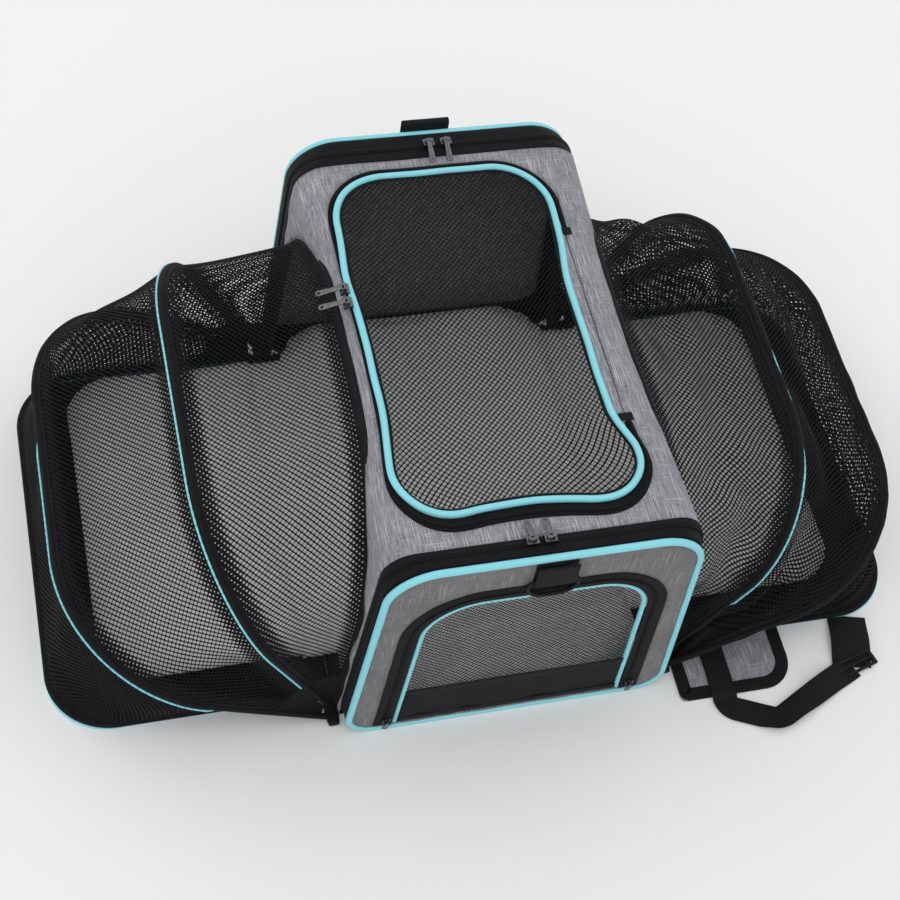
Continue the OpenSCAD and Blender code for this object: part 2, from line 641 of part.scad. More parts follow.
// ---------- zip sliders and pulls ----------
// A slider along X with its coil's middle at the origin. Its bail is along X, or turned
bail_z = slider_h + 1.9;
module slider(turned = 0) color(steel) difference() {
  union() {
    translate([-slider_l / 2, -slider_w / 2, -0.4]) cube([slider_l, slider_w, slider_h - 0.2]);
    rotate([0, 0, turned]) {
      for (x = [-3.4, 2]) translate([x, -1.5, slider_h - 0.8]) cube([1.4, 3, 3.4]);
      translate([-3.4, 0, bail_z]) rotate([0, 90, 0]) cylinder(r = 0.7, h = 6.8);
    }
  }
  rotate([0, 90, 0]) cylinder(r = coil_r + 0.35, h = 30, center = true);
  translate([-15, -coil_r - 0.35, -3]) cube([30, 2 * coil_r + 0.7, 3]);
}

// A pull hung on the slider's bail. It lies toward Y, resting on the slider's edge
module pull(l, w = 5, drop = pull_drop) color(steel) translate([0, 0, bail_z])
  rotate([-drop, 0, 0]) difference() {
    union() {
      rotate([0, 90, 0]) cylinder(r = 1.9, h = 3.4, center = true);
      translate([-1.7, 0, -1.2]) cube([3.4, 5, 2.4]);
      translate([-w / 2, 4.4, -1.2]) cube([w, l - 4.4, 2.4]);
    }
    rotate([0, 90, 0]) cylinder(r = 1.05, h = 10, center = true);
  }

top_coil_z = body_h + coil_r + 0.05;
module at_front(x) translate([x, front_edge - seam - front_coil, top_coil_z]) children();
module at_back(x) translate([x, back_edge + seam + back_coil, top_coil_z]) rotate([0, 0, 180]) children();
module at_hatch(y) translate([hatch_x - hatch_w / 2 - coil_in, y, hatch_coil_z])
  rotate([0, 0, 90]) children();
door_lean = atan((door_foot_w - door_head_w) / (door_top - door_foot));
module at_door(side, z) mirror([side > 0 ? 1 : 0, 0, 0])
  translate([-door_half(z) - door_coil, door_coil_y, z])
    rotate([90, door_lean - 90, 0]) children();

module front_slider_l() at_front(-15) slider();
module front_slider_r() at_front(0) slider();
module back_slider_l() at_back(-7) slider();
module back_slider_r() at_back(9) slider();
module hatch_slider_f() at_hatch(38) slider();
module hatch_slider_b() at_hatch(53) slider();
module door_slider_l() at_door(-1, 24) slider(90);
module door_slider_r() at_door(1, 24) slider(90);
module front_pull_l() at_front(-15) pull(20);
module front_pull_r() at_front(0) pull(20);
module back_pull_l() at_back(-7) pull(22);
module back_pull_r() at_back(9) pull(22);
module hatch_pull_f() at_hatch(38) pull(26);
module hatch_pull_b() at_hatch(53) pull(26);
module door_pull_l() at_door(-1, 24) rotate([0, 0, 90]) pull(14, drop = door_pull_drop);
module door_pull_r() at_door(1, 24) rotate([0, 0, 90]) pull(14, drop = door_pull_drop);

// ---------- what is drawn ----------
base_board();
cabin_pad();
top_panel();
side_walls();
front_panel();
back_panel();
front_piping();
back_piping();
front_zip();
back_zip();
wire_frames();
hatch_zip();
door_zip();
opening_bindings();
hinge_rolls();
strap_loops();
left_hood_a();
right_hood_a();
left_bow_1();
right_bow_1();
left_hood_b();
right_hood_b();
left_bow_2();
right_bow_2();
left_hood_c();
right_hood_c();
left_wing_board();
right_wing_board();
left_wing_skin();
right_wing_skin();
left_wing_piping();
right_wing_piping();
left_wing_pad();
right_wing_pad();
side_pocket();
side_strap();
strap_adjuster();
hatch_mesh();
hatch_piping();
door_mesh();
door_skirt();
door_piping();
d_ring();
front_slider_l();
front_slider_r();
back_slider_l();
back_slider_r();
hatch_slider_f();
hatch_slider_b();
door_slider_l();
door_slider_r();
front_pull_l();
front_pull_r();
back_pull_l();
back_pull_r();
hatch_pull_f();
hatch_pull_b();
door_pull_l();
door_pull_r();
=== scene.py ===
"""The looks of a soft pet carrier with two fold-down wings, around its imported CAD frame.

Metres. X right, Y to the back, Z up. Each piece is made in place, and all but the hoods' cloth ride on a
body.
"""
import math

import bpy
import numpy as np
from mathutils import Matrix, Vector
from mathutils.geometry import delaunay_2d_cdt


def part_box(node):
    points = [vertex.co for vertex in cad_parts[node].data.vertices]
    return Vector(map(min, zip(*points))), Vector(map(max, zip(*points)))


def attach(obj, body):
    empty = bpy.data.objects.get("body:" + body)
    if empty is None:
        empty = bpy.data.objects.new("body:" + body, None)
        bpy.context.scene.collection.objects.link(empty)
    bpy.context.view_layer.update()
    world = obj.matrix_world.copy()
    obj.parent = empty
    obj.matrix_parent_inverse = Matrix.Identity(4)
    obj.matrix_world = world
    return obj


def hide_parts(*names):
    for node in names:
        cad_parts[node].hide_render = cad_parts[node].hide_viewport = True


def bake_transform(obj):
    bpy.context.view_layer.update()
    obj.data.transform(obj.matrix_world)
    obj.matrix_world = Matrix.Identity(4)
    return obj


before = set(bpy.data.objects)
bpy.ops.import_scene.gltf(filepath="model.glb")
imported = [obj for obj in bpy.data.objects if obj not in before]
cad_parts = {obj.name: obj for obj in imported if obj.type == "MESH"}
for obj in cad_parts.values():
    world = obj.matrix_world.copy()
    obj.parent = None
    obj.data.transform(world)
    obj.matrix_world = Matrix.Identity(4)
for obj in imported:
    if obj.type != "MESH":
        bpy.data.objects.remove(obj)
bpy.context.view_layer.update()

# ---------- sizes, as in the part ----------
BODY_L, BASE_W, TOP_W, BODY_H = 0.460, 0.304, 0.264, 0.280
TOP_R, END_R, FOOT_R = 0.028, 0.046, 0.028
FRONT_BAND, BACK_BAND = 0.0155, 0.0285
PIPING_R, HATCH_PIPING_R, DOOR_PIPING_R, FINE_R, CORD_R = 0.0032, 0.003, 0.0023, 0.0015, 0.00095
HATCH_W, HATCH_L, HATCH_X, HATCH_R = 0.196, 0.354, -0.009, 0.050
HATCH_SIDE = HATCH_X + HATCH_W / 2 + HATCH_PIPING_R
SIDE_TAPE, FRONT_TAPE = 0.0056, 0.0125
HINGE_FRONT, HINGE_BACK = -0.107, 0.095
DOOR_FOOT_W, DOOR_HEAD_W, DOOR_TOP, DOOR_FOOT, DOOR_R = 0.105, 0.094, 0.222, 0.0106, 0.050
DOOR_TAPE, SKIRT_H = 0.0195, 0.058
MOUTH_HALF, MOUTH_H, MOUTH_R, MOUTH_FRONT, BINDING_R = 0.195, 0.268, 0.125, 0.0046, 0.004
HINGE_X, HINGE_Z = 0.158, 0.0054
WING_REACH, WING_HALF, WING_Y, WING_R = 0.245, 0.190, 0.003, 0.057
BOW_R = 0.003
FRONT_COIL, BACK_COIL, COIL_FOOT, END_PIPING_Y = -0.2125, 0.2091, 0.018, 0.2268
DOOR_NET_Y, DOOR_CORD_Y = -0.2275, -0.2277
PAD_FRONT, PAD_BACK = -0.1500, 0.1815
CABIN_T, PANEL_T, COVE_T, BAND_T, SKIRT_T, HEM_T = 0.0016, 0.0015, 0.0005, 0.0014, 0.0012, 0.0009
STRAP_T, LOOP_T, COVER_T = 0.0016, 0.0014, 0.0016
SEAM, PLAY = 0.0001, 0.0003
NET_PITCH, NET_T, HOLE = 0.0052, 0.00034, 0.00163
COIL_PITCH = 0.0014
HALF_L = BODY_L / 2
SLOPE = (BASE_W - TOP_W) / 2 / BODY_H
BAND_END = HALF_L - 2 * PIPING_R - SEAM
FRONT_EDGE, BACK_EDGE = FRONT_BAND - BAND_END, BAND_END - BACK_BAND
PANEL_Y = HALF_L - 0.0015
SIDES = {"left": -1, "right": 1}
UP = np.array([0.0, 0.0, 1.0])


# ---------- camera, floor and light ----------
def make_camera():
    azimuth, elevation, roll = (math.radians(a) for a in (-22.62, 56.03, 11.93))
    aim, distance = Vector((-0.0134, -0.006, 0.100)), 1.621
    back = Vector((math.sin(azimuth) * math.cos(elevation),
                   -math.cos(azimuth) * math.cos(elevation), math.sin(elevation)))
    right = (-back).cross(Vector((0, 0, 1))).normalized()
    up = right.cross(-back)
    x = math.cos(roll) * right + math.sin(roll) * up
    y = math.cos(roll) * up - math.sin(roll) * right
    data = bpy.data.cameras.new("camera")
    data.lens, data.sensor_width = 69.5, 36
    camera = bpy.data.objects.new("camera", data)
    bpy.context.scene.collection.objects.link(camera)
    turn = Matrix((x, y, back)).transposed().to_4x4()
    camera.matrix_world = Matrix.Translation(aim + distance * back) @ turn
    bpy.context.scene.camera = camera


def area_light(name, place, target, size, power):
    data = bpy.data.lights.new(name, "AREA")
    data.shape, data.size, data.energy = "SQUARE", size, power
    light = bpy.data.objects.new(name, data)
    bpy.context.scene.collection.objects.link(light)
    light.location = place
    light.rotation_euler = (Vector(target) - Vector(place)).to_track_quat("-Z", "Y").to_euler()


def make_studio():
    bpy.context.scene.view_settings.view_transform = "Standard"
    world = bpy.data.worlds.new("studio")
    bpy.context.scene.world = world
    world.use_nodes = True
    nodes, links = world.node_tree.nodes, world.node_tree.links
    nodes.clear()
    path = nodes.new("ShaderNodeLightPath")
    seen = nodes.new("ShaderNodeMath")
    seen.operation = "MAXIMUM"
    links.new(path.outputs["Is Camera Ray"], seen.inputs[0])
    links.new(path.outputs["Is Glossy Ray"], seen.inputs[1])
    strength = nodes.new("ShaderNodeMath")
    strength.operation = "MULTIPLY_ADD"
    links.new(seen.outputs[0], strength.inputs[0])
    strength.inputs[1].default_value, strength.inputs[2].default_value = 0.23, 0.77
    shade = nodes.new("ShaderNodeBackground")
    shade.inputs["Color"].default_value = (1, 1, 1, 1)
    links.new(strength.outputs[0], shade.inputs["Strength"])
    links.new(shade.outputs[0], nodes.new("ShaderNodeOutputWorld").inputs[0])
    area_light("key", (-0.7, -0.9, 2.3), (0, 0, 0.1), 1.6, 11)
    area_light("fill", (1.6, 0.9, 1.8), (0, 0, 0.1), 1.8, 5)
    area_light("rim", (-1.4, 1.6, 1.3), (0, 0, 0.2), 1.4, 4)

    bpy.ops.mesh.primitive_plane_add(size=12, location=(0, 0, -0.0006))
    floor = bpy.context.object
    floor.name = "studio_floor"
    paper = bpy.data.materials.new("floor_paper")
    paper.use_nodes = True
    shader = paper.node_tree.nodes["Principled BSDF"]
    shader.inputs["Base Color"].default_value = (0.93, 0.93, 0.93, 1)
    shader.inputs["Roughness"].default_value = 0.9
    floor.data.materials.append(paper)


make_camera()
make_studio()


# ---------- materials ----------
class Finish:
    """A principled material with small helpers for its procedural nodes."""

    def __init__(self, name, roughness, metallic=0.0, sheen=0.0):
        self.material = bpy.data.materials.new(name)
        self.material.use_nodes = True
        self.tree = self.material.node_tree
        self.shader = self.tree.nodes["Principled BSDF"]
        gloss = 0.5 if metallic or roughness < 0.5 else 0.08
        for key, value in (("Roughness", roughness), ("Metallic", metallic), ("Sheen Weight", sheen),
                           ("Sheen Roughness", 0.45), ("Specular IOR Level", gloss)):
            self.shader.inputs[key].default_value = value

    def feed(self, socket, value):
        """Links a socket to another node's value, or sets a plain one."""
        if isinstance(value, bpy.types.NodeSocket):
            self.tree.links.new(value, socket)
        else:
            socket.default_value = value

    def add(self, kind, inputs=None, **settings):
        node = self.tree.nodes.new("ShaderNode" + kind)
        for key, value in settings.items():
            setattr(node, key, value)
        for key, value in (inputs or {}).items():
            self.feed(node.inputs[key], value)
        return node

    def fabric(self):
        """Metres along and across the cloth."""
        return self.add("UVMap", uv_map="fabric").outputs[0]

    def place(self):
        """Metres in the frame."""
        return self.add("TexCoord").outputs["Object"]

    def noise(self, vector, scale, detail, rough):
        """Noise at one scale, or at one for each way along the cloth."""
        if isinstance(scale, tuple):
            vector = self.add("Mapping", {"Vector": vector, "Scale": (*scale, 1)}).outputs[0]
            scale = 1
        return self.add("TexNoise", {"Vector": vector, "Scale": scale, "Detail": detail,
                                     "Roughness": rough}).outputs[0]

    def wave(self, vector, scale, direction="X"):
        return self.add("TexWave", {"Vector": vector, "Scale": scale}, bands_direction=direction).outputs[1]

    def math(self, operation, a, b):
        return self.add("Math", {0: a, 1: b}, operation=operation).outputs[0]

    def total(self, *parts):
        """The sum of (value, weight) parts."""
        result, *others = [self.math("MULTIPLY", value, weight) for value, weight in parts]
        for part in others:
            result = self.math("ADD", result, part)
        return result

    def span(self, value, low, high, to_low=0.0, to_high=1.0):
        return self.add("MapRange", {"Value": value, "From Min": low, "From Max": high,
                                     "To Min": to_low, "To Max": to_high}).outputs[0]

    def mix(self, factor, a, b):
        node = self.add("Mix", {0: factor}, data_type="RGBA")
        for key, value in ((6, a), (7, b)):
            self.feed(node.inputs[key], (*value, 1) if isinstance(value, tuple) else value)
        return node.outputs[2]

    def color(self, value):
        self.feed(self.shader.inputs["Base Color"], value)

    def roughness(self, value):
        self.feed(self.shader.inputs["Roughness"], value)

    def bump(self, height, distance, strength):
        node = self.add("Bump", {"Height": height, "Distance": distance, "Strength": strength})
        self.feed(self.shader.inputs["Normal"], node.outputs[0])


def heather(name, dark, light, slub, streaks, grains, slubs):
    """Uneven grey yarns: streaks run along the cloth, grains are the weave, slubs are pale threads."""
    f = Finish(name, 0.88, sheen=0.05)
    uv = f.fabric()
    along = f.span(f.noise(uv, (1900, 70), 3, 0.65), 0.38, 0.62)
    across = f.span(f.noise(uv, (120, 1500), 2, 0.6), 0.38, 0.62)
    grain = f.span(f.noise(uv, 1250, 3, 0.75), 0.34, 0.66)
    yarn = f.total((along, streaks), (across, 0.17), (grain, grains))
    long_slub = f.span(f.noise(uv, (1000, 26), 2, 0.5), 0.57, 0.65)
    cross_slub = f.span(f.noise(uv, (30, 950), 2, 0.5), 0.61, 0.68)
    pale = f.math("MULTIPLY", f.math("MAXIMUM", long_slub, f.math("MULTIPLY", cross_slub, 0.7)), slubs)
    slubbed = f.mix(pale, f.mix(yarn, dark, light), slub)
    broad = f.span(f.noise(uv, 16, 3, 0.5), 0.3, 0.7, 0.0, 0.18)
    f.color(f.mix(broad, slubbed, dark))
    f.bump(f.total((f.wave(uv, 300, "X"), 1), (f.wave(uv, 300, "Y"), 1), (yarn, 3)), 0.00025, 0.8)
    return f.material


def nylon(name, shade, pitch, direction="X", rough=0.7, lift=1.9):
    """Black or coloured woven tape with fine ribs across its length. Its colour goes from shade towards lit
    on the rib crests and in broad patches, which is a painted highlight; the fine thread speckle is the
    yarn's own tone.
    """
    f = Finish(name, rough, sheen=0.03)
    uv = f.fabric()
    ribs = f.wave(uv, 1 / pitch / 3.2, direction)
    threads = f.noise(uv, 2600, 1, 0.5)
    # broad lighter patches: painted highlight
    painted_highlight_patches = f.noise(uv, 40, 3, 0.6)
    lit = tuple(min(1.0, c * lift + 0.003) for c in shade)
    # painted highlight: rib crests and broad patches lift the colour from shade towards lit, over the real
    # thread speckle
    tone = f.total((ribs, 0.35), (threads, 0.4), (painted_highlight_patches, 0.4))
    f.color(f.mix(f.span(tone, 0.2, 1.1), shade, lit))
    f.bump(f.total((ribs, 1), (threads, 0.5)), 0.00018, 0.8)
    return f.material


def net_yarn():
    f = Finish("net_yarn", 0.72, sheen=0.02)
    fine = f.noise(f.place(), 1500, 2, 0.6)
    f.color(f.mix(f.span(fine, 0.3, 0.7), (0.004, 0.004, 0.005), (0.011, 0.011, 0.013)))
    f.bump(fine, 0.0002, 0.6)
    return f.material


def fleece():
    f = Finish("white_fleece", 0.95, sheen=0.1)
    here = f.place()
    tufts = f.noise(here, 260, 4, 0.7)
    f.color(f.mix(f.span(tufts, 0.3, 0.7), (0.88, 0.88, 0.87), (0.95, 0.95, 0.94)))
    f.bump(f.math("ADD", tufts, f.noise(here, 38, 3, 0.5)), 0.0006, 0.6)
    return f.material


def metal():
    f = Finish("gunmetal", 0.28, metallic=1.0)
    here = f.place()
    cloud = f.noise(here, 300, 3, 0.6)
    f.color(f.mix(f.span(cloud, 0.3, 0.7), (0.10, 0.10, 0.105), (0.19, 0.19, 0.20)))
    f.roughness(f.span(cloud, 0.3, 0.7, 0.2, 0.38))
    f.bump(f.noise(here, 1800, 2, 0.6), 0.00005, 0.5)
    return f.material


def plastic():
    f = Finish("black_plastic", 0.5)
    grain = f.noise(f.place(), 2200, 2, 0.5)
    f.color(f.mix(grain, (0.008, 0.008, 0.009), (0.018, 0.018, 0.019)))
    f.roughness(f.span(grain, 0.3, 0.7, 0.38, 0.55))
    f.bump(grain, 0.00008, 0.6)
    return f.material


def cover():
    """Plain black cloth over a board, without cloth coordinates."""
    f = Finish("black_cover", 0.8, sheen=0.03)
    here = f.place()
    weave = f.math("ADD", f.wave(here, 420, "X"), f.wave(here, 420, "Y"))
    tone = f.math("ADD", weave, f.noise(here, 30, 3, 0.6))
    f.color(f.mix(f.span(tone, 0.3, 2.2), (0.005, 0.005, 0.006), (0.013, 0.013, 0.015)))
    f.bump(weave, 0.0001, 0.6)
    return f.material


GREY = heather("grey_heather", (0.075, 0.073, 0.088), (0.62, 0.615, 0.68), (0.88, 0.88, 0.94),
               0.53, 0.30, 0.62)
GREY_END = heather("grey_heather_end", (0.060, 0.057, 0.060), (0.43, 0.42, 0.43), (0.70, 0.69, 0.70),
                   0.18, 0.65, 0.30)
LINING = nylon("black_lining", (0.006, 0.006, 0.007), 0.0008)
TAPE = nylon("black_tape", (0.006, 0.006, 0.007), 0.0009, rough=0.75)
COIL = nylon("black_coil", (0.008, 0.008, 0.009), 0.0012, rough=0.5)
BINDING = nylon("black_binding", (0.007, 0.007, 0.008), 0.0013)
WEBBING = nylon("black_webbing", (0.008, 0.008, 0.009), 0.0024, "Y")
AQUA = nylon("aqua_piping", (0.25, 0.70, 0.79), 0.0009, rough=0.42, lift=1.08)
NET, FLEECE, METAL, PLASTIC, COVER = net_yarn(), fleece(), metal(), plastic(), cover()


# ---------- lines ----------
def outline(points, radii, closed=True, step=0.004, counts=None):
    """A line through points with round corners, about step apart, or with (arc, straight) counts."""
    points = [np.array(p, float) for p in points]
    n = len(points)
    stops = []
    for i, (p, r) in enumerate(zip(points, radii)):
        if r <= 0 or (not closed and i in (0, n - 1)):
            stops.append([p])
            continue
        to_a, to_b = points[i - 1] - p, points[(i + 1) % n] - p
        to_a, to_b = to_a / np.linalg.norm(to_a), to_b / np.linalg.norm(to_b)
        half = math.acos(float(np.clip(to_a @ to_b, -1, 1))) / 2
        middle = to_a + to_b
        c = p + middle / np.linalg.norm(middle) * r / math.sin(half)
        start = p + to_a * r / math.tan(half) - c
        turn = math.pi - 2 * half
        sign = 1 if to_a[0] * to_b[1] - to_a[1] * to_b[0] < 0 else -1
        count = counts[0] if counts else max(6, int(r * turn / step))
        arc = [sign * turn * k / count for k in range(count + 1)]
        stops.append([c + np.array([math.cos(t) * start[0] - math.sin(t) * start[1],
                                    math.sin(t) * start[0] + math.cos(t) * start[1]]) for t in arc])
    line = []
    for i, stop in enumerate(stops):
        line += stop
        if i == n - 1 and not closed:
            break
        a, b = stop[-1], stops[(i + 1) % n][0]
        count = counts[1] if counts else int(np.linalg.norm(b - a) / step)
        line += [a + (b - a) * k / (count + 1) for k in range(1, count + 1)]
    return np.array(line)


def finer(line, step):
    """A closed line with more points, about step apart."""
    return outline(line, [0] * len(line), step=step)


def inside(points, polygon):
    """Which points lie in a closed polygon."""
    x, y = points[:, 0], points[:, 1]
    found = np.zeros(len(points), bool)
    for (x0, y0), (x1, y1) in zip(polygon, np.roll(polygon, -1, 0)):
        crosses = (y0 > y) != (y1 > y)
        with np.errstate(divide="ignore", invalid="ignore"):
            found ^= crosses & (x < (x1 - x0) * (y - y0) / (y1 - y0) + x0)
    return found


def nearest(points, line):
    """Nearest point of a dense line, and how far it is."""
    best = np.full(len(points), np.inf)
    spot = np.array(points)
    for start in range(0, len(line), 64):
        part = line[start:start + 64]
        gap = np.linalg.norm(points[:, None] - part[None], axis=2)
        k = gap.argmin(1)
        d = gap[np.arange(len(points)), k]
        closer = d < best
        best[closer], spot[closer] = d[closer], part[k[closer]]
    return spot, best


def reach_of(line):
    """How far along a line each of its points lies."""
    return np.concatenate([[0], np.cumsum(np.linalg.norm(np.diff(line, axis=0), axis=1))])


def unit(v):
    return v / (np.linalg.norm(v, axis=-1, keepdims=True) + 1e-12)


def directions(path, closed=False):
    ahead = np.roll(path, -1, 0) - path
    behind = path - np.roll(path, 1, 0)
    if not closed:
        ahead[-1], behind[0] = behind[-1], ahead[0]
    return unit(unit(ahead) + unit(behind))


def resample(path, pitch):
    """Even stations along a path, and the path's direction at each."""
    reach = reach_of(path)
    count = int(reach[-1] / pitch)
    s = (np.arange(count) + 0.5) * reach[-1] / count
    spots, near = (np.column_stack([np.interp(at, reach, path[:, k]) for k in range(3)])
                   for at in (s, s + pitch / 3))
    return spots, unit(near - spots)


def flat(line, z):
    return np.column_stack([line[:, 0], line[:, 1], np.broadcast_to(z, len(line))])


def upright(line, y):
    return np.column_stack([line[:, 0], np.broadcast_to(y, len(line)), line[:, 1]])


def along_y(x, z, y0, y1, count):
    """A straight line from front to back."""
    return np.array([(x, y, z) for y in np.linspace(y0, y1, count)])


def between(a, b, steps):
    """Rows of points from line a to line b."""
    return np.array([a + (b - a) * k / steps for k in range(steps + 1)])


def half_width(z):
    return BASE_W / 2 - SLOPE * z


def end_line(inset, r=END_R, **spacing):
    """The cabin's end outline as (x, z), inset all round, with r for its upper corners."""
    side = inset / math.cos(math.atan(SLOPE))
    z0, z1 = inset, BODY_H - inset
    x0, x1 = half_width(z0) - side, half_width(z1) - side
    radii = [FOOT_R - inset, FOOT_R - inset, r - inset, r - inset]
    return outline([(-x0, z0), (x0, z0), (x1, z1), (-x1, z1)], radii, **spacing)


def end_section(r, y, inset=0.0, counts=(12, 30)):
    """The end outline in space at y, with the same number of points for any corner radius."""
    return upright(end_line(inset, r, counts=counts), y)


def hatch_corners(out):
    w, l = HATCH_W / 2 + out, HATCH_L / 2 + out
    return [(HATCH_X - w, -l), (HATCH_X + w, -l), (HATCH_X + w, l), (HATCH_X - w, l)]


def hatch_outline(out, step=0.004):
    return outline(hatch_corners(out), [HATCH_R + out] * 4, step=step)


def hatch_tape_edge():
    """The outer edge of the hatch's zip tape, which is wider along the front."""
    out = HATCH_PIPING_R + PLAY + SIDE_TAPE
    corners = hatch_corners(out)
    front = corners[0][1] - FRONT_TAPE + SIDE_TAPE
    return outline([(corners[0][0], front), (corners[1][0], front), *corners[2:]], [HATCH_R + out] * 4)


def at_hinge(points):
    """Which points lie along the stretch of the hatch's edge that is sewn, not zipped."""
    return (points[:, 0] > 0.05) & (points[:, 1] > HINGE_FRONT) & (points[:, 1] < HINGE_BACK)


def warped(p, pull=0.008):
    """The hatch's front corners spread, its front edge draws in, and pull draws in the hinge side."""
    p = np.array(p, float)
    x, y = p[:, 0].copy(), p[:, 1].copy()
    front = np.exp(-((y + 0.175) / 0.045) ** 2)
    left = np.exp(-((x + 0.095) / 0.035) ** 2)
    right = np.exp(-((x - 0.075) / 0.040) ** 2)
    middle = np.exp(-((x + 0.010) / 0.045) ** 2)
    waist = smooth(0.130 - y, 0, 0.110) * smooth(y, -0.135, -0.095) * smooth(x, 0.0, 0.085)
    corner = np.exp(-((y + 0.150) / 0.022) ** 2)
    behind, ahead = np.exp(-((y - 0.065) / 0.040) ** 2), np.exp(-((y + 0.135) / 0.035) ** 2)
    p[:, 0] += right * (0.0045 * front + 0.0060 * corner) - pull * waist
    p[:, 0] -= left * (0.0030 * behind + 0.0065 * ahead)
    p[:, 1] += front * (-0.0060 * left - 0.0090 * right + 0.0025 * middle)
    return p


def door_half(z):
    return DOOR_FOOT_W - (DOOR_FOOT_W - DOOR_HEAD_W) * (z - DOOR_FOOT) / (DOOR_TOP - DOOR_FOOT)


def door_outline(out, foot, step=0.004):
    top = DOOR_TOP + out
    x0, x1 = door_half(foot) + out, door_half(top) + out
    return outline([(-x0, foot), (-x1, top), (x1, top), (x0, foot)], [0, DOOR_R + out, DOOR_R + out, 0],
                   False, step)


# half width, reach, corner radius, hinge x, hinge z, degrees from upright and shift along y
PLANES = {
    "mouth": (MOUTH_HALF, MOUTH_H, MOUTH_R, 0.151, 0.0, -5, -MOUTH_FRONT),
    "bow_1": (0.2015, 0.245, 0.119, HINGE_X, HINGE_Z, 26, 0),
    "bow_2": (0.212, 0.256, 0.128, HINGE_X, HINGE_Z, 61, 0),
    "wing": (WING_HALF, WING_REACH - 0.0015, WING_R, HINGE_X, 0.003, 90, WING_Y),
}


def arch(plane, foot, out=0.0, counts=(26, 40)):
    """Points of (y, reach) up one leg of a plane's arch, over its top and down the other."""
    half, high, r = (v + out for v in PLANES[plane][:3])
    return outline([(-half, foot), (-half, high), (half, high), (half, foot)], [0, r, r, 0],
                   False, counts=counts)


def on_plane(plane, line, side, lift=0.0):
    """(y, reach) on a plane that leans out from the hinge. lift moves off the plane."""
    x, z, deg, shift = PLANES[plane][3:]
    a = math.radians(deg)
    return np.column_stack([side * (x + line[:, 1] * math.sin(a) - lift * math.cos(a)),
                            line[:, 0] + shift, z + line[:, 1] * math.cos(a) + lift * math.sin(a)])


def leaning_up(path):
    """A direction across an arch's plane, for sweeping along it."""
    a, b, c = path[0], path[len(path) // 2], path[-1]
    return unit(np.cross(b - a, c - a))


# ---------- how the cloth hangs ----------
def smooth(t, a, b):
    t = np.clip((t - a) / (b - a), 0, 1)
    return t * t * (3 - 2 * t)


def ripple(p, size, seed, long=0.05):
    """Small waves in cloth, as a sum of sines. Flat points stand in for places in space."""
    if p.shape[1] == 2:
        p = np.column_stack([p, p[:, :1]])
    rng = np.random.default_rng(seed)
    total = np.zeros(len(p))
    for _ in range(7):
        k = rng.normal(size=3)
        k *= 2 * math.pi / (long * rng.uniform(0.6, 1.6)) / np.linalg.norm(k)
        total += np.sin(p @ k + rng.uniform(0, 6.28)) / 2.6
    return size * total


def drape(p):
    """The cabin's long top edges pull in between its ends, and its top gives a little."""
    p = np.array(p, float)
    x, y, z = p.T
    along = np.clip(1 - (y / 0.215) ** 2, 0, 1) ** 1.5
    side = smooth(np.abs(x), 0.106, 0.128)
    dx = -np.sign(x) * along * np.clip(z / BODY_H, 0, 1) ** 2 * (0.0015 + 0.0065 * side)
    dz = -0.0015 * along * smooth(z, 0.24, 0.28)
    return np.column_stack([x + dx, y, z + dz])


# ---------- meshes ----------
def points_of(obj):
    return np.array([v.co for v in obj.data.vertices])


def set_points(obj, points):
    obj.data.vertices.foreach_set("co", points.ravel())


def new_piece(name, verts, faces, material, body, uvs):
    """A mesh object from arrays. uvs has one row for each corner of each face."""
    materials = material if isinstance(material, tuple) else (material,)
    mesh = bpy.data.meshes.new(name)
    mesh.from_pydata([tuple(v) for v in verts], [], [tuple(int(i) for i in f) for f in faces])
    if uvs is not None:
        layer = mesh.uv_layers.new(name="fabric")
        layer.data.foreach_set("uv", np.array(uvs, np.float32).ravel())
    mesh.validate()
    mesh.polygons.foreach_set("use_smooth", [True] * len(mesh.polygons))
    for m in materials:
        mesh.materials.append(m)
    obj = bpy.data.objects.new(name, mesh)
    bpy.context.scene.collection.objects.link(obj)
    if body:
        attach(obj, body)
    return obj


def apply_modifiers(obj):
    bpy.context.view_layer.update()
    graph = bpy.context.evaluated_depsgraph_get()
    mesh = bpy.data.meshes.new_from_object(obj.evaluated_get(graph))
    obj.modifiers.clear()
    obj.data = mesh


def cloth_piece(name, verts, faces, uvs, material, body, thickness, offset):
    """A cloth piece. A pair of materials gives it a lining."""
    obj = new_piece(name, verts, faces, material, None, uvs)
    if thickness:
        solid = obj.modifiers.new("thickness", "SOLIDIFY")
        solid.thickness, solid.offset = thickness, offset
        if isinstance(material, tuple):
            solid.material_offset = 1
            solid.material_offset_rim = 0
        apply_modifiers(obj)
    if body:
        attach(obj, body)
    return obj


def patch(name, outer, holes, step, place, material, body, thickness=0.0, offset=-1.0):
    """Cloth cut to an outline with holes, meshed evenly and put in place by a function."""
    loops = [outer, *holes]
    row, clear = step * 0.87, 0.55 * step

    def covered(points):
        found = inside(points, outer)
        for hole in holes:
            found &= ~inside(points, hole)
        return found

    low, high = outer.min(0), outer.max(0)
    grid = np.array([(x + (0.5 * step if k % 2 else 0), y)
                     for k, y in enumerate(np.arange(low[1], high[1], row))
                     for x in np.arange(low[0], high[0], step)])
    keep = covered(grid)
    for loop in loops:
        keep &= nearest(grid, loop)[1] > clear
    edges, start = [], 0
    for loop in loops:
        n = len(loop)
        edges += [(start + i, start + (i + 1) % n) for i in range(n)]
        start += n
    points = np.vstack([*loops, grid[keep]])
    made = delaunay_2d_cdt([Vector(p) for p in points], edges, [], 1, 1e-7)
    verts = np.array([tuple(v) for v in made[0]])
    faces = np.array([f for f in made[2] if len(f) == 3])
    used, faces = np.unique(faces[covered(verts[faces].mean(1))], return_inverse=True)
    faces, verts = faces.reshape(-1, 3), verts[used]
    return cloth_piece(name, place(verts), faces, verts[faces.ravel()], material, body, thickness, offset)


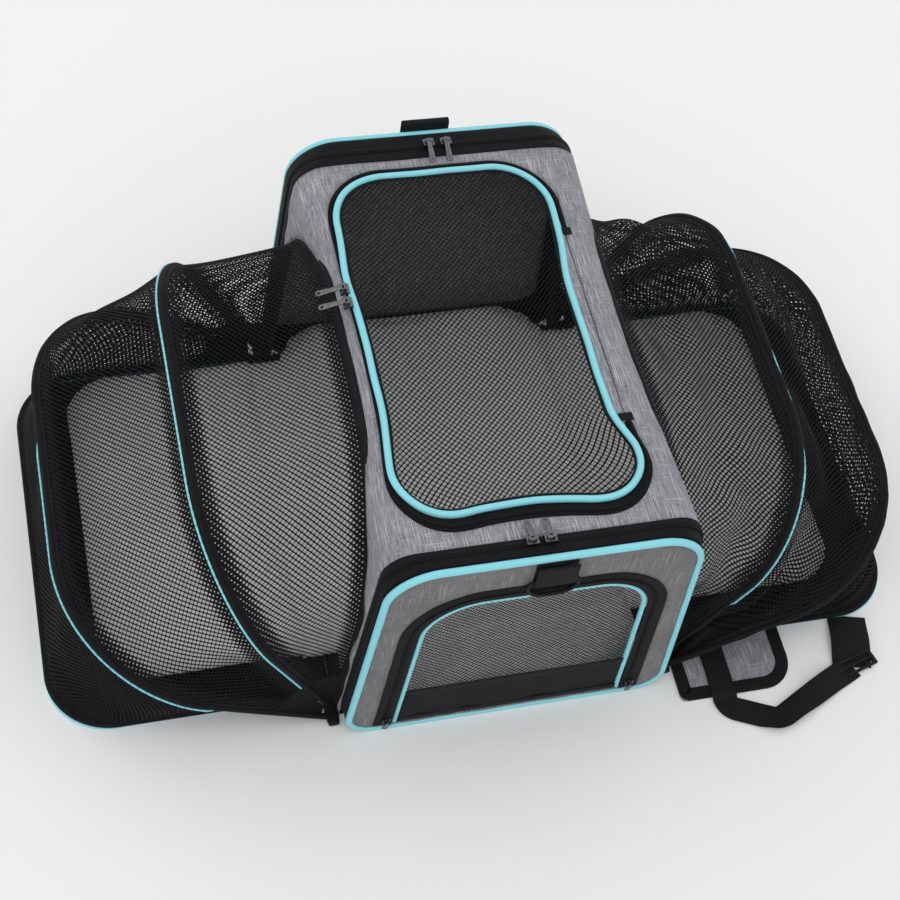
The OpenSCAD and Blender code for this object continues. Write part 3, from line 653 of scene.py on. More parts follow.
def sheet_of(name, rows, material, body, closed=False, thickness=0.0, offset=-1.0):
    """A cloth sheet through rows of points."""
    rows = np.array(rows)
    n, m = rows.shape[:2]
    u, v = reach_of(rows[n // 2]), reach_of(rows[:, m // 2])
    step = u[1] - u[0]
    faces, uvs = [], []
    for i in range(n - 1):
        for k in range(m if closed else m - 1):
            l = (k + 1) % m
            u1 = u[l] if l else u[-1] + step
            faces.append((i * m + k, i * m + l, (i + 1) * m + l, (i + 1) * m + k))
            uvs += [(u[k], v[i]), (u1, v[i]), (u1, v[i + 1]), (u[k], v[i + 1])]
    return cloth_piece(name, rows.reshape(-1, 3), faces, uvs, material, body, thickness, offset)


def sweep(name, path, up, profile, material, body, closed=False):
    """A profile of (side, up) points carried along a path. side is the path's direction x up."""
    path = np.array(path, float)
    along = directions(path, closed)
    side = unit(np.cross(along, up))
    up = np.cross(side, along)
    profile = np.array(profile, float)
    if profile.ndim == 2:
        profile = np.broadcast_to(profile, (len(path), *profile.shape))
    n, m = profile.shape[:2]
    verts = path[:, None] + side[:, None] * profile[..., :1] + up[:, None] * profile[..., 1:]
    u = reach_of(path)
    u_end = u[-1] + np.linalg.norm(path[0] - path[-1])
    v = reach_of(np.vstack([profile[0], profile[0][:1]]))
    faces, uvs = [], []
    for i in range(n if closed else n - 1):
        j = (i + 1) % n
        u1 = u[j] if j else u_end
        for k in range(m):
            l = (k + 1) % m
            faces.append((i * m + k, j * m + k, j * m + l, i * m + l))
            uvs += [(u[i], v[k]), (u1, v[k]), (u1, v[k + 1]), (u[i], v[k + 1])]
    if not closed:
        ring = list(range(m))
        faces += [tuple(ring), tuple((n - 1) * m + k for k in reversed(ring))]
        uvs += [(0, v[k]) for k in ring] + [(u[-1], v[k]) for k in reversed(ring)]
    return new_piece(name, verts.reshape(-1, 3), faces, material, body, uvs)


def circle(r, sides=14, squash=1.0):
    turns = [2 * math.pi * k / sides for k in range(sides)]
    return [(r * math.cos(t), r * squash * math.sin(t)) for t in turns]


def slab(width, thickness, rounds=3):
    """A flat profile with round edges."""
    t = thickness / 2
    w = width / 2 - t
    right = [(w + t * math.sin(a), -t * math.cos(a))
             for a in (math.pi * k / (2 * rounds) for k in range(2 * rounds + 1))]
    return right + [(-x, -y) for x, y in right]


def ribbon(name, path, wide, width, thickness, material, body):
    """Webbing along a path, its width along wide."""
    path = np.array(path, float)
    up = np.cross(wide, directions(path))
    piece = sweep(name, path, up, slab(width, thickness), material, body)
    return piece


def join(name, pieces):
    """One object out of several on the same body."""
    bpy.ops.object.select_all(action="DESELECT")
    for p in pieces:
        p.select_set(True)
    bpy.context.view_layer.objects.active = pieces[0]
    bpy.ops.object.join()
    pieces[0].name = name
    return pieces[0]


def along_with(up, path, spots):
    """A direction for each spot, from one for the whole path or one for each of its points."""
    up = np.array(up, float)
    if up.ndim == 1:
        return np.broadcast_to(up, spots.shape)
    return up[[int(np.linalg.norm(path - q, axis=1).argmin()) for q in spots]]


def copies(name, shape, faces, spots, axes, material, body, slot=None):
    """Many small copies of one shape. axes holds three directions for each spot."""
    shape = np.array(shape, float)
    a, b, c = axes
    verts = (spots[:, None] + shape[None, :, :1] * a[:, None] + shape[None, :, 1:2] * b[:, None]
             + shape[None, :, 2:] * c[:, None]).reshape(-1, 3)
    faces = np.array(faces)
    every = faces[None] + (np.arange(len(spots)) * len(shape))[:, None, None]
    uvs = np.tile(shape[faces.ravel()][:, :2], (len(spots), 1))
    return new_piece(name, verts, every.reshape(-1, faces.shape[1]), material, body, uvs)


def bar(long, wide, high):
    """A little block with chamfered long edges."""
    def cut(v):
        return max(-1, min(1, 1.3 * v))

    turns = [math.pi * (k + 0.5) / 4 for k in range(8)]
    shape = [(x, wide / 2 * cut(math.cos(t)), high / 2 * cut(math.sin(t)))
             for x in (-long / 2, long / 2) for t in turns]
    faces = [(k, (k + 1) % 8, 8 + (k + 1) % 8, 8 + k) for k in range(8)]
    faces += [(0, 7, 6, 5), (0, 5, 4, 1), (1, 4, 3, 2), (8, 9, 12, 13), (8, 13, 14, 15), (9, 10, 11, 12)]
    return shape, faces


def dash(long, r, sides=10):
    """A short round stitch of piping with soft ends."""
    swell = ((-0.5, 0.75), (-0.42, 0.98), (0, 1.04), (0.42, 0.98), (0.5, 0.75))
    shape = [(x * long, k * y, k * z) for x, k in swell for y, z in circle(r, sides)]
    faces = []
    for i in range(0, 4 * sides, sides):
        for j in range(sides):
            l = (j + 1) % sides
            faces += [(i + j, i + l, i + sides + l), (i + j, i + sides + l, i + sides + j)]
    middle, last = len(shape), 4 * sides
    shape += [(-0.5 * long, 0, 0), (0.5 * long, 0, 0)]
    faces += [(middle, (j + 1) % sides, j) for j in range(sides)]
    faces += [(middle + 1, last + j, last + (j + 1) % sides) for j in range(sides)]
    return shape, faces


def coil(name, path, up, body, width=0.0034):
    """The two meshed rows of a nylon zip: small teeth across a line."""
    spots, along = resample(path, COIL_PITCH)
    up = along_with(up, path, spots)
    side = unit(np.cross(along, up))
    tooth = bar(width * 0.62, COIL_PITCH * 0.78, 0.0016)
    shift = np.where(np.arange(len(spots)) % 2 == 0, 1, -1)[:, None] * side * width * 0.17
    return copies(name, *tooth, spots + shift, (side, along, up), COIL, body)


def stitches(name, path, body):
    """A line of thread stitches lying on flat cloth."""
    pitch, long, thick, lift = 0.0034, 0.0022, 0.0005, 0.0002
    spots, along = resample(path, pitch)
    up = np.broadcast_to(UP, spots.shape)
    axes = (along, unit(np.cross(along, up)), up)
    return copies(name, *bar(long, thick, thick), spots + lift * up, axes, BINDING, body)


def net(name, place, u_range, v_range, held, body, hole=HOLE, tight=None):
    """Knitted net with rounded diamond holes. place puts (u, v) in space; held moves points that
    are past the cloth's edge onto it and says which points lie inside."""
    h = NET_PITCH / 2
    i = np.arange(int(u_range[0] / h) - 1, int(u_range[1] / h) + 2)
    j = np.arange(int(v_range[0] / h) - 1, int(v_range[1] / h) + 2)
    i, j = (g.ravel() for g in np.meshgrid(i, j))
    even = (i + j) % 2 == 0
    centre = np.column_stack([i, j])[even]
    centre = centre[held(centre * h)[1]]
    ring = np.array([(2, 0), (1, 1), (0, 2), (-2, 0), (-1, -1), (0, -2)])
    sides = len(ring)
    keys = (2 * centre[:, None] + ring).reshape(-1, 2)
    edge_keys, index, count = np.unique(keys, axis=0, return_inverse=True, return_counts=True)
    index = index.reshape(-1, sides)
    full = count >= np.where(edge_keys[:, 0] % 2 == 0, 4, 2)
    edge_uv = held(edge_keys * h / 2)[0]
    reach = hole * np.where((ring == 0).any(1), 1.12, 1.0)
    centre = centre * h
    open_by = tight(centre)[:, None, None] if tight else 1.0
    hole_uv = centre[:, None] + unit(ring)[None] * reach[None, :, None] * open_by
    hole_uv = held(hole_uv.reshape(-1, 2))[0]
    uv = np.vstack([edge_uv, hole_uv])
    p = place(uv)
    e = 0.0004
    n = unit(np.cross((place(uv + [e, 0]) - p) / e, (place(uv + [0, e]) - p) / e))
    ne = len(edge_uv)
    lift = np.where(full, NET_T, 0)[:, None] * n[:ne]
    under = np.where(full, np.cumsum(full) - 1 + len(uv), np.arange(ne))
    verts = np.vstack([p[:ne] + lift, p[ne:], (p[:ne] - lift)[full]])
    holes = ne + np.arange(len(hole_uv)).reshape(-1, sides)
    nxt = np.roll(np.arange(sides), -1)
    low = under[index]
    top = np.stack([index, index[:, nxt], holes[:, nxt], holes], 2).reshape(-1, 4)
    bottom = np.stack([holes, holes[:, nxt], low[:, nxt], low], 2).reshape(-1, 4)
    return new_piece(name, verts, np.vstack([top, bottom]), NET, body, None)


def held_in(polygon):
    """Keeps points to a closed outline, for a net."""
    def held(points):
        within = inside(points, polygon)
        kept = points.copy()
        if (~within).any():
            kept[~within] = nearest(points[~within], polygon)[0]
        return kept, within
    return held


def facing_out(n, spots, middle):
    """Directions turned so that each points away from a middle."""
    return np.where(((spots - middle) * n).sum(1)[:, None] < 0, -n, n)


# ---------- cabin ----------
WALL_FOOT = 0.0013
SECTION = outline([(-half_width(WALL_FOOT), WALL_FOOT), (-half_width(BODY_H), BODY_H),
                   (half_width(BODY_H), BODY_H), (half_width(WALL_FOOT), WALL_FOOT)],
                  [0, TOP_R, TOP_R, 0], closed=False, step=0.003)
SECTION_S = reach_of(SECTION)
SECTION_S -= SECTION_S[-1] / 2
HALF_SECTION = len(SECTION) // 2
(RIGHT_X, RIGHT_Z), RIGHT_S = SECTION[HALF_SECTION:].T, SECTION_S[HALF_SECTION:]


def s_at_height(z):
    """Distance round the section from the top's middle to a height on the right side."""
    return np.interp(-np.asarray(z), -RIGHT_Z, RIGHT_S)


def s_at_x(x):
    """Distance round the section to a point on the top, x from the middle."""
    return np.sign(x) * np.interp(np.abs(x), RIGHT_X, RIGHT_S)


def on_cabin(points):
    """(distance round the section, y) to its place on the cloth."""
    x, z = (np.interp(points[:, 0], SECTION_S, SECTION[:, k]) for k in (0, 1))
    p = np.column_stack([x, points[:, 1], z])
    q = drape(p)
    top = smooth(z, 0.2, 0.27)
    q[:, 2] += ripple(p, 0.0005, 3, 0.07) * top
    q[:, 0] += ripple(p, 0.0011, 4, 0.06) * (1 - top)
    return q


def cabin_cloth():
    s_end = SECTION_S[-1]
    edges = {}
    for side in (-1, 1):
        line = on_plane("mouth", arch("mouth", 0.0, 0.001, (30, 44)), side)
        s = s_at_height(np.clip(line[:, 2], 0.0014, 0.2795))
        edges[side] = [(side * min(v, s_end), y) for v, y in zip(s, line[:, 1])]
    loop = [(-s_end, FRONT_EDGE), (s_end, FRONT_EDGE), *edges[1], (s_end, BACK_EDGE),
            (-s_end, BACK_EDGE), *reversed(edges[-1])]
    tape = hatch_tape_edge()
    tape[at_hinge(tape), 0] = HATCH_SIDE + PLAY
    tape = warped(tape, 0)
    hole = np.column_stack([s_at_x(tape[:, 0]), tape[:, 1]])
    step = 0.006
    cloth = patch("cabin_cloth", finer(loop, step), [hole], step, on_cabin, (GREY, LINING),
                  "bag_body", CABIN_T)
    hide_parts("top_panel", "side_walls")


def end_bands():
    """The zip bands round both ends, with their coils, piping and the coves behind the piping."""
    for name, sign, edge_y, coil_y in (("front", -1, FRONT_EDGE, FRONT_COIL),
                                        ("back", 1, BACK_EDGE, BACK_COIL)):
        rows = between(end_section(END_R, sign * BAND_END), end_section(TOP_R, edge_y), 8)
        rows = [drape(row) for row in rows[::sign]]
        band = sheet_of(name + "_zip_band", rows, (TAPE, LINING), "bag_body", True, BAND_T)
        share = (abs(coil_y) - abs(edge_y)) / (BAND_END - abs(edge_y))
        line = end_section(TOP_R + (END_R - TOP_R) * share, coil_y, -0.0007)
        line = line[line[:, 2] > COIL_FOOT]
        gap = int(np.argmax(np.linalg.norm(line - np.roll(line, 1, 0), axis=1)))
        line = drape(np.roll(line, -gap, 0))
        up = facing_out(unit(np.cross(directions(line), (0, 1, 0))), line, line.mean(0))
        teeth = coil(name + "_zip_coil", line, up, "bag_body")
        cord = sweep(name + "_zip_cord", line - up * 0.0002, up, slab(0.0062, 0.0010), TAPE, "bag_body")
        join(name + "_zip_coil", [teeth, cord])
        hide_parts(name + "_zip")
        piping = sweep(name + "_end_piping", end_section(END_R, sign * END_PIPING_Y, PIPING_R, (16, 40)),
                       (0, 1, 0), circle(PIPING_R, 18), AQUA, "bag_body", True)
        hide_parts(name + "_piping")
        cove = between(end_section(END_R, sign * (PANEL_Y - 0.0030), 0.0085),
                       end_section(END_R, sign * (BAND_END - 0.0040), 0.0024), 3)
        sheet_of(name + "_end_cove", cove[::-sign], LINING, "bag_body", True, COVE_T)


def end_panels():
    edge, dense = end_line(0.0045), end_line(0.0045, step=0.002)
    door_hole = finer(door_outline(DOOR_TAPE - 0.002, DOOR_FOOT - 0.002), 0.004)
    ends = (("front", -1, edge, [door_hole], 0.0007, 0.0002, 8),
            ("back", 1, edge[::-1], [], 0.0010, 0.0003, 9))
    for name, sign, line, holes, high, wave, seed in ends:
        def place(points):
            rise = high * smooth(nearest(points, dense)[1], 0, 0.02) + ripple(points, wave, seed, 0.06)
            return upright(points, sign * (PANEL_Y - 0.0009 + rise))

        panel = patch(name + "_cloth", line, holes, 0.006, place, (GREY_END, LINING), "bag_body", PANEL_T, 0)
        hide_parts(name + "_panel")


def opening_edges():
    for name, side in SIDES.items():
        path = drape(on_plane("mouth", arch("mouth", 0.008, 0.0, (30, 40)), side))
        sweep(name + "_opening_binding", path, leaning_up(path), circle(BINDING_R, 16, 0.92),
                           BINDING, "bag_body")
    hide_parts("opening_bindings")


# ---------- front door ----------
def front_door():
    forward, y = (0, -1, 0), -PANEL_Y - 0.0010
    middle = (DOOR_PIPING_R + PLAY + DOOR_TAPE) / 2
    tape = sweep("door_zip_tape", upright(door_outline(middle, DOOR_FOOT), y), forward,
                 slab(DOOR_TAPE - DOOR_PIPING_R - PLAY, 0.0009), TAPE, "bag_body")
    line = upright(door_outline(0.0096, DOOR_FOOT + 0.004, 0.002), y - 0.0008)
    coil("door_zip_coil", line, forward, "bag_body")
    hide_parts("door_zip")
    line = upright(door_outline(0, DOOR_FOOT + 0.002, 0.003), DOOR_CORD_Y)
    piping = sweep("door_piping_cord", line, forward, circle(DOOR_PIPING_R), AQUA, "front_door")
    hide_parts("door_piping")
    edge = finer(door_outline(-0.0008, SKIRT_H + DOOR_FOOT - 0.006, 0.0015), 0.0015)

    def place(uv):
        return upright(uv, DOOR_NET_Y + 0.0025 * smooth(nearest(uv, edge)[1], 0, 0.05))

    mesh = net("door_net", place, (-0.11, 0.11), (0.05, 0.225), held_in(edge), "front_door")
    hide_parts("door_mesh")
    z0, z1 = DOOR_FOOT + 0.001, DOOR_FOOT + SKIRT_H
    x0, x1 = door_half(z0) - 0.0018, door_half(z1) - 0.0018
    skirt_line = finer([(-x0, z0), (x0, z0), (x1, z1), (-x1, z1)], 0.004)

    def skirt(points):
        return upright(points, DOOR_NET_Y - 0.0004 + ripple(points, 0.0004, 12))

    cloth = patch("door_skirt_cloth", skirt_line, [], 0.005, skirt, LINING, "front_door", SKIRT_T, 0)
    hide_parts("door_skirt")
    hem = np.array([(x, DOOR_NET_Y - 0.0012, z1) for x in np.linspace(-x1, x1, 40)])
    foot = hem * [x0 / x1, 1, 0] + [0, 0, z0 + 0.004]
    ribbon("door_skirt_hem", hem, UP, 0.009, HEM_T, BINDING, "front_door")
    ribbon("door_foot_hem", foot, UP, 0.008, HEM_T, BINDING, "front_door")


# ---------- top hatch ----------
def on_top(points, lift=-0.0005):
    """(x, y) on the cabin's top."""
    return on_cabin(np.column_stack([s_at_x(points[:, 0]), points[:, 1]])) + [0, 0, lift]


def hatch_surround():
    """The zip's tape and coil, and the seam that stands in for a hinge, all on the cabin."""
    inner = warped(hatch_outline(HATCH_PIPING_R - 0.0008), 0)
    tape = warped(hatch_tape_edge(), 0)
    band = patch("hatch_zip_tape", tape, [inner], 0.005, on_top, TAPE, "bag_body", 0.0010)
    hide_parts("hatch_zip")
    near = warped(hatch_outline(HATCH_PIPING_R, 0.003), 0)
    coil_line = near + (nearest(near, tape)[0] - near) * 0.55
    away = ~at_hinge(coil_line)
    start = int(np.argmax(away & ~np.roll(away, 1)))
    run = np.roll(coil_line, -start, 0)[:away.sum()]
    coil("hatch_zip_coil", on_top(run, 0.0002), UP, "bag_body", 0.0028)
    seam = np.array([(HATCH_SIDE + 0.0022, y) for y in np.linspace(HINGE_FRONT, HINGE_BACK, 50)])
    stitches("hatch_hinge_stitches", on_top(seam, 0.0006), "bag_body")
    for k, y in enumerate((HINGE_FRONT, HINGE_BACK)):
        tab = on_top(np.array([(HATCH_SIDE - 0.004 + 0.002 * i, y) for i in range(7)]), 0.0011)
        ribbon(f"hatch_tab_{k}", tab, (0, 1, 0), 0.008, 0.0014, BINDING, "bag_body")


def top_hatch():
    """The hatch's net, hem and piping, and the margin of cloth at its sewn edge."""
    top_z, sag = BODY_H, 0.0075
    straight = along_y(HATCH_SIDE - 0.0002, top_z, HINGE_FRONT - 0.004, HINGE_BACK + 0.012, 60)
    pulled = warped(straight - [HATCH_PIPING_R, 0, 0])
    strip = np.vstack([straight, pulled[::-1]])[:, :2]
    patch("hatch_hinge_margin", strip, [], 0.003, lambda points: flat(points, top_z + 0.0001),
          (GREY, LINING), "hatch", 0.0012)
    path = warped(flat(hatch_outline(0, 0.003), top_z + 0.0005))
    path += np.cross(directions(path, True), UP) * ripple(path, 0.0004, 21)[:, None]
    piping = sweep("hatch_piping_cord", path, UP, circle(HATCH_PIPING_R, 18), AQUA, "hatch", True)
    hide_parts("hatch_piping")
    edge = hatch_outline(-0.0008, 0.0015)
    hw, hl = HATCH_W / 2, HATCH_L / 2

    def place(uv):
        x, y = (uv[:, 0] - HATCH_X) / hw, uv[:, 1] / hl
        hang = np.clip(1 - np.abs(x) ** 2.4, 0, 1) * np.clip(1 - np.abs(y) ** 3, 0, 1)
        p = warped(flat(uv, top_z))
        p[:, 2] += -sag * hang + ripple(p, 0.0012, 31, 0.09) * hang
        return p

    mesh = net("hatch_net", place, (HATCH_X - hw, HATCH_X + hw), (-hl, hl), held_in(edge), "hatch")
    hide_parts("hatch_mesh")
    hem = warped(flat(hatch_outline(-0.0040), top_z - 0.0001))
    sweep("hatch_hem", hem, UP, slab(0.0034, 0.0012), BINDING, "hatch", True)


# ---------- hoods ----------
class Gore:
    """Cloth between two arches. Its flat coordinates are (along the arch, across from the first)."""

    def __init__(self, side, a, b, foot, sag, folds, ridges, seed):
        self.a = on_plane(a, arch(a, foot), side)
        self.b = on_plane(b, arch(b, foot), side)
        if a == "mouth":
            self.a = drape(self.a)
        middle = (self.a + self.b) / 2
        self.u = reach_of(middle)
        self.w = np.linalg.norm(self.b - self.a, axis=1)
        self.length = self.u[-1]
        heart = np.array([side * 0.19, 0, 0.02])
        self.out = facing_out(unit(np.cross(directions(middle), self.b - self.a)), middle, heart)
        self.sag, self.folds, self.ridges, self.seed, self.side = sag, folds, ridges, seed, side

    def at(self, table, u):
        return np.column_stack([np.interp(u, self.u, table[:, k]) for k in range(3)])

    def width(self, u):
        return np.interp(u, self.u, self.w)

    def place(self, uv, lift=0.0):
        u, w = uv[:, 0], self.width(uv[:, 0])
        t = np.clip(uv[:, 1] / w, 0, 1)
        a, b, out = self.at(self.a, u), self.at(self.b, u), unit(self.at(self.out, u))
        p = a + (b - a) * t[:, None]
        free = 4 * t * (1 - t)
        fold = self.folds * free * (ripple(p, 1.0, self.seed, 0.07) - 0.35)
        if self.ridges:
            wander = 1.7 * t + 0.45 * ripple(p, 1.0, self.seed + 5, 0.13)
            fold += self.ridges * free * np.sin(2 * math.pi * wander)
        return p + out * (fold - self.sag * w * free + lift)[:, None]

    def tight(self, uv):
        """How far the net's holes open: they close beside the bows and where it is gathered at the back."""
        w = self.width(uv[:, 0])
        from_edge = np.minimum(uv[:, 1], w - uv[:, 1])
        at_back = smooth(uv[:, 0] / self.length, 0.52, 0.70)
        return (0.42 + 0.58 * smooth(from_edge, 0.010, 0.022)) * (1 - 0.28 * at_back)

    def held(self, low, start, end):
        """Keeps to the stretch more than low from the feet, and off both edges."""
        def held(points):
            kept = points.copy()
            kept[:, 0] = np.clip(points[:, 0], low, self.length - low)
            w = self.width(kept[:, 0])
            kept[:, 1] = np.clip(points[:, 1], start, np.maximum(w - end, start + 0.001))
            return kept, (np.abs(kept - points) < 1e-9).all(1)
        return held

    def sheet(self, name, lines, thickness, lift=0.0):
        """Solid cloth through lines of flat points."""
        rows = [self.place(line, lift) for line in lines][::self.side]
        return sheet_of(name, rows, LINING, None, False, thickness, 0)

    def hem(self, name, start, end):
        """A band of cloth along the gore. start and end are functions of its width."""
        u = np.linspace(0.001, self.length - 0.001, 220)
        w = self.width(u)
        lines = [np.column_stack([u, start(w) + (end(w) - start(w)) * k / 5]) for k in range(6)]
        return self.sheet(name, lines, 0.0010, 0.0002)


# first plane, second plane, foot of the arches and the bodies at each edge
HOODS = {
    "hood_a": ("mouth", "bow_1", 0.012, "bag_body", "bow_1"),
    "hood_b": ("bow_1", "bow_2", 0.012, "bow_1", "bow_2"),
    "hood_c": ("bow_2", "wing", 0.011, "bow_2", "wing"),
}
# sag as a share of the width, hole size, and the height of the long folds
HANG = {
    ("left", "hood_a"): (0.03, HOLE, 0),
    ("left", "hood_b"): (0.02, HOLE, 0),
    ("left", "hood_c"): (0.04, 0.00095, 0),
    ("right", "hood_a"): (0.07, 0.00145, 0.0015),
    ("right", "hood_b"): (0.085, 0.00125, 0.0042),
    ("right", "hood_c"): (0.08, 0.00090, 0.0040),
}
CLOSED = 0.046
FROM_A, FROM_B, HEM_A, HEM_B = 0.0042, 0.0034, 0.0065, 0.0062


def hood(name, side, kind):
    """Net between two arches, with solid cloth at its feet and hems along its edges."""
    piece = f"{name}_{kind}"
    first, second, foot, body_a, body_b = HOODS[kind]
    sag, hole, ridges = HANG[name, kind]
    slack = 0.0035 if name == "right" else 0.0015
    gore = Gore(side, first, second, foot, sag, slack, ridges, 46 + ord(kind[-1]) + side)
    mesh = net(piece + "_net", gore.place, (0, gore.length), (0, gore.w.max()),
               gore.held(CLOSED - 0.002, FROM_A, FROM_B), None, hole, gore.tight)
    u = np.linspace(0, CLOSED, 14)
    sheets = []
    for k, stretch in enumerate((u, gore.length - u[::-1])):
        free = gore.width(stretch) - FROM_A - FROM_B
        lines = [np.column_stack([stretch, FROM_A + free * t]) for t in np.linspace(0, 1, 12)]
        sheets.append(gore.sheet(f"{piece}_foot_{k}", lines, 0.0009))
    hem_a = gore.hem(piece + "_hem_a", lambda w: FROM_A - 0.001, lambda w: np.minimum(HEM_A, w / 2))
    hem_b = gore.hem(piece + "_hem_b", lambda w: np.maximum(w - HEM_B, w / 2), lambda w: w - FROM_B + 0.001)
    whole = join(piece + "_cloth", [mesh, *sheets, hem_a, hem_b])
    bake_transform(whole)
    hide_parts(piece)


def crumple(obj, size, seed, long):
    """Moves a piece's surface in and out a little, as loose cloth does."""
    n, co = np.array([v.normal for v in obj.data.vertices]), points_of(obj)
    set_points(obj, co + n * ripple(co, size, seed, long)[:, None])
    obj.data.update()


def bow(name, side, kind):
    """A bow's cloth sleeve and the dashes of piping that show beside it."""
    body = f"{name}_{kind}"
    across = leaning_up(on_plane(kind, arch(kind, 0.0), side))
    path = on_plane(kind, arch(kind, 0.0055), side)
    tube = sweep(body + "_sleeve", path, across, circle(BOW_R), BINDING, body)
    crumple(tube, 0.0005 if name == "right" else 0.0002, 90, 0.035)
    out = BOW_R + CORD_R - 0.0001
    tip, foot, counts = math.radians(48), 0.060, (60, 90)
    line = on_plane(kind, arch(kind, foot, out * math.cos(tip), counts), side, -out * math.sin(tip))
    tucked = on_plane(kind, arch(kind, foot, 0.0, counts), side)
    line = tucked + (line - tucked) * peeping(name, kind, np.linspace(0, 1, len(line)))[:, None]
    spots, along = resample(line, 0.0074)
    up = np.broadcast_to(across, spots.shape)
    axes = (along, np.cross(along, up), up)
    copies(body + "_piping", *dash(0.0072, CORD_R), spots, axes, AQUA, body)
    sweep(body + "_piping_core", line, across, circle(CORD_R * 0.62, 8), BINDING, body)
    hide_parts(body)


# where along each bow its piping shows, from front to back
PEEPS = {("left", "bow_1"): (0.0, 1.0), ("left", "bow_2"): (0.20, 0.56), ("right", "bow_1"): (0.14, 0.36),
         ("right", "bow_2"): (0.0, 0.0)}


def peeping(name, kind, t):
    """1 where a bow's piping stands clear of its sleeve, and 0 where a fold of the net takes it in."""
    a, b = PEEPS[name, kind]
    if b - a >= 1:
        return np.ones(len(t))
    return 0.5 + 0.5 * smooth(b - t, 0, 0.03) * smooth(t - a, 0, 0.03)


# ---------- wings ----------
def wing_outline(step):
    """The board's outline for the right side, a little inside its rim."""
    inset = 0.0022
    x0, x1 = HINGE_X + 0.003, HINGE_X + WING_REACH - inset
    half = WING_HALF - inset
    return outline([(x0, WING_Y - half), (x1, WING_Y - half), (x1, WING_Y + half), (x0, WING_Y + half)],
                   [0, WING_R - inset, WING_R - inset, 0], step=step)


def wing(name, side):
    """The covered board, its rim and piping, the hinge's sleeve, and the fleece at the hinge."""
    body = name + "_wing"
    edge, dense = wing_outline(0.005), wing_outline(0.002)
    deep, rim_z, cord_z = 0.0048, 0.0050, 0.0018

    def top(points):
        rise = deep * np.clip(nearest(points, dense)[1] / 0.004, 0, 1) ** 0.5
        rise = np.where(points[:, 0] < HINGE_X + 0.008, deep, rise)
        return flat(points * [side, 1], 0.0007 + rise + ripple(points, 0.00025, 50, 0.08) * (rise > 0.004))

    def under(points):
        return flat(points * [side, 1], 0.0004)

    face = patch(body + "_cloth", edge[::side], [], 0.005, top, COVER, body)
    base = patch(body + "_underside", edge[::-side], [], 0.008, under, COVER, body)
    face = join(body + "_cloth", [face, base])
    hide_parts(body + "_board", body + "_skin")
    flat_line = arch("wing", 0.0, 0.0, (40, 60))
    rim = flat(on_plane("wing", flat_line, side), rim_z)
    sweep(body + "_rim", rim, UP, circle(0.0030, 14, 0.9), BINDING, body)
    shows = np.exp(-(((flat_line[:, 0] + 0.150) / 0.050) ** 2 + ((flat_line[:, 1] - 0.215) / 0.050) ** 2))
    away = unit(flat_line - flat_line.mean(0)) * (0.0048 * shows - 0.0012)[:, None]
    line = flat(on_plane("wing", flat_line + away, side), cord_z)
    cord = sweep(body + "_edge_piping", line, UP, circle(FINE_R, 12), AQUA, body)
    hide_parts(body + "_piping")
    roll = along_y(side * HINGE_X, HINGE_Z, WING_Y - 0.186, WING_Y + 0.186, 90)
    shown = roll[(roll[:, 1] > PAD_FRONT) & (roll[:, 1] < PAD_BACK)]
    for kind, sign, run, finish in (("sleeve", 1, shown, FLEECE), ("under", -1, roll, BINDING)):
        half = [(x, sign * z + 0.0001 * sign) for x, z in circle(0.0034, 20) if z > -1e-6]
        sweep(f"{body}_hinge_{kind}", run, UP, half[::sign], finish, body)
    lip = along_y(side * (HINGE_X + 0.0058), 0.0078, PAD_FRONT + 0.002, PAD_BACK + 0.0005, 80)
    sweep(body + "_pad_lip", lip, UP, slab(0.0060, 0.0040), FLEECE, body)
    gusset = along_y(side * 0.1480, 0.0082, PAD_FRONT, PAD_BACK - 0.0015, 80)
    sweep(name + "_pad_gusset", gusset, UP, slab(0.0106, 0.0070), FLEECE, "bag_body")


def hinge_cover(name, side):
    """Fleece from the cabin's pad and from the wing's pad, which meets over their hinge."""
    y0, y1 = PAD_FRONT - 0.001, PAD_BACK
    halves = ((name + "_hinge_cover", "bag_body", [(0.1385, 0.0100), (0.1420, 0.0120), (0.1480, 0.0124),
                                                   (0.1535, 0.0117), (HINGE_X, 0.0109), (0.1592, 0.0107)]),
              (name + "_pad_cover", name + "_wing", [(0.1572, 0.0104), (0.1600, 0.0106), (0.1638, 0.0108),
                                                     (0.1690, 0.0112), (0.1735, 0.0098)]))
    for piece, body, crest in halves:
        x, z = np.array(crest).T
        rows = []
        for y in np.linspace(y0, y1, 110):
            end = 0.0035 * (1 - smooth(min(y - y0, y1 - y), 0.0, 0.006))
            p = np.column_stack([side * x, np.full(len(x), y), z - end])
            p[:, 2] += ripple(p, 0.0004, 83, 0.03)
            rows.append(p[::-side])
        sheet_of(piece, rows, FLEECE, body, False, COVER_T)


def hinge_boots(name, side):
    """Little cloth pockets over the ends of a hinge roll."""
    near, far = 0.1895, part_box("hinge_rolls")[1][1] + 0.0012
    t = np.linspace(0, 1, 14)
    size = 0.5 + 0.45 * np.sin(math.pi * np.clip(t * 0.8 + 0.12, 0, 1)) ** 0.5
    profile = size[:, None, None] * slab(0.0135, 0.0092)
    for k, sign in enumerate((-1, 1)):
        path = along_y(side * (HINGE_X - 0.0006), 0.0050, sign * near, sign * far, 14)
        sweep(f"{name}_hinge_boot_{k}", path, UP, profile, BINDING, "bag_body")


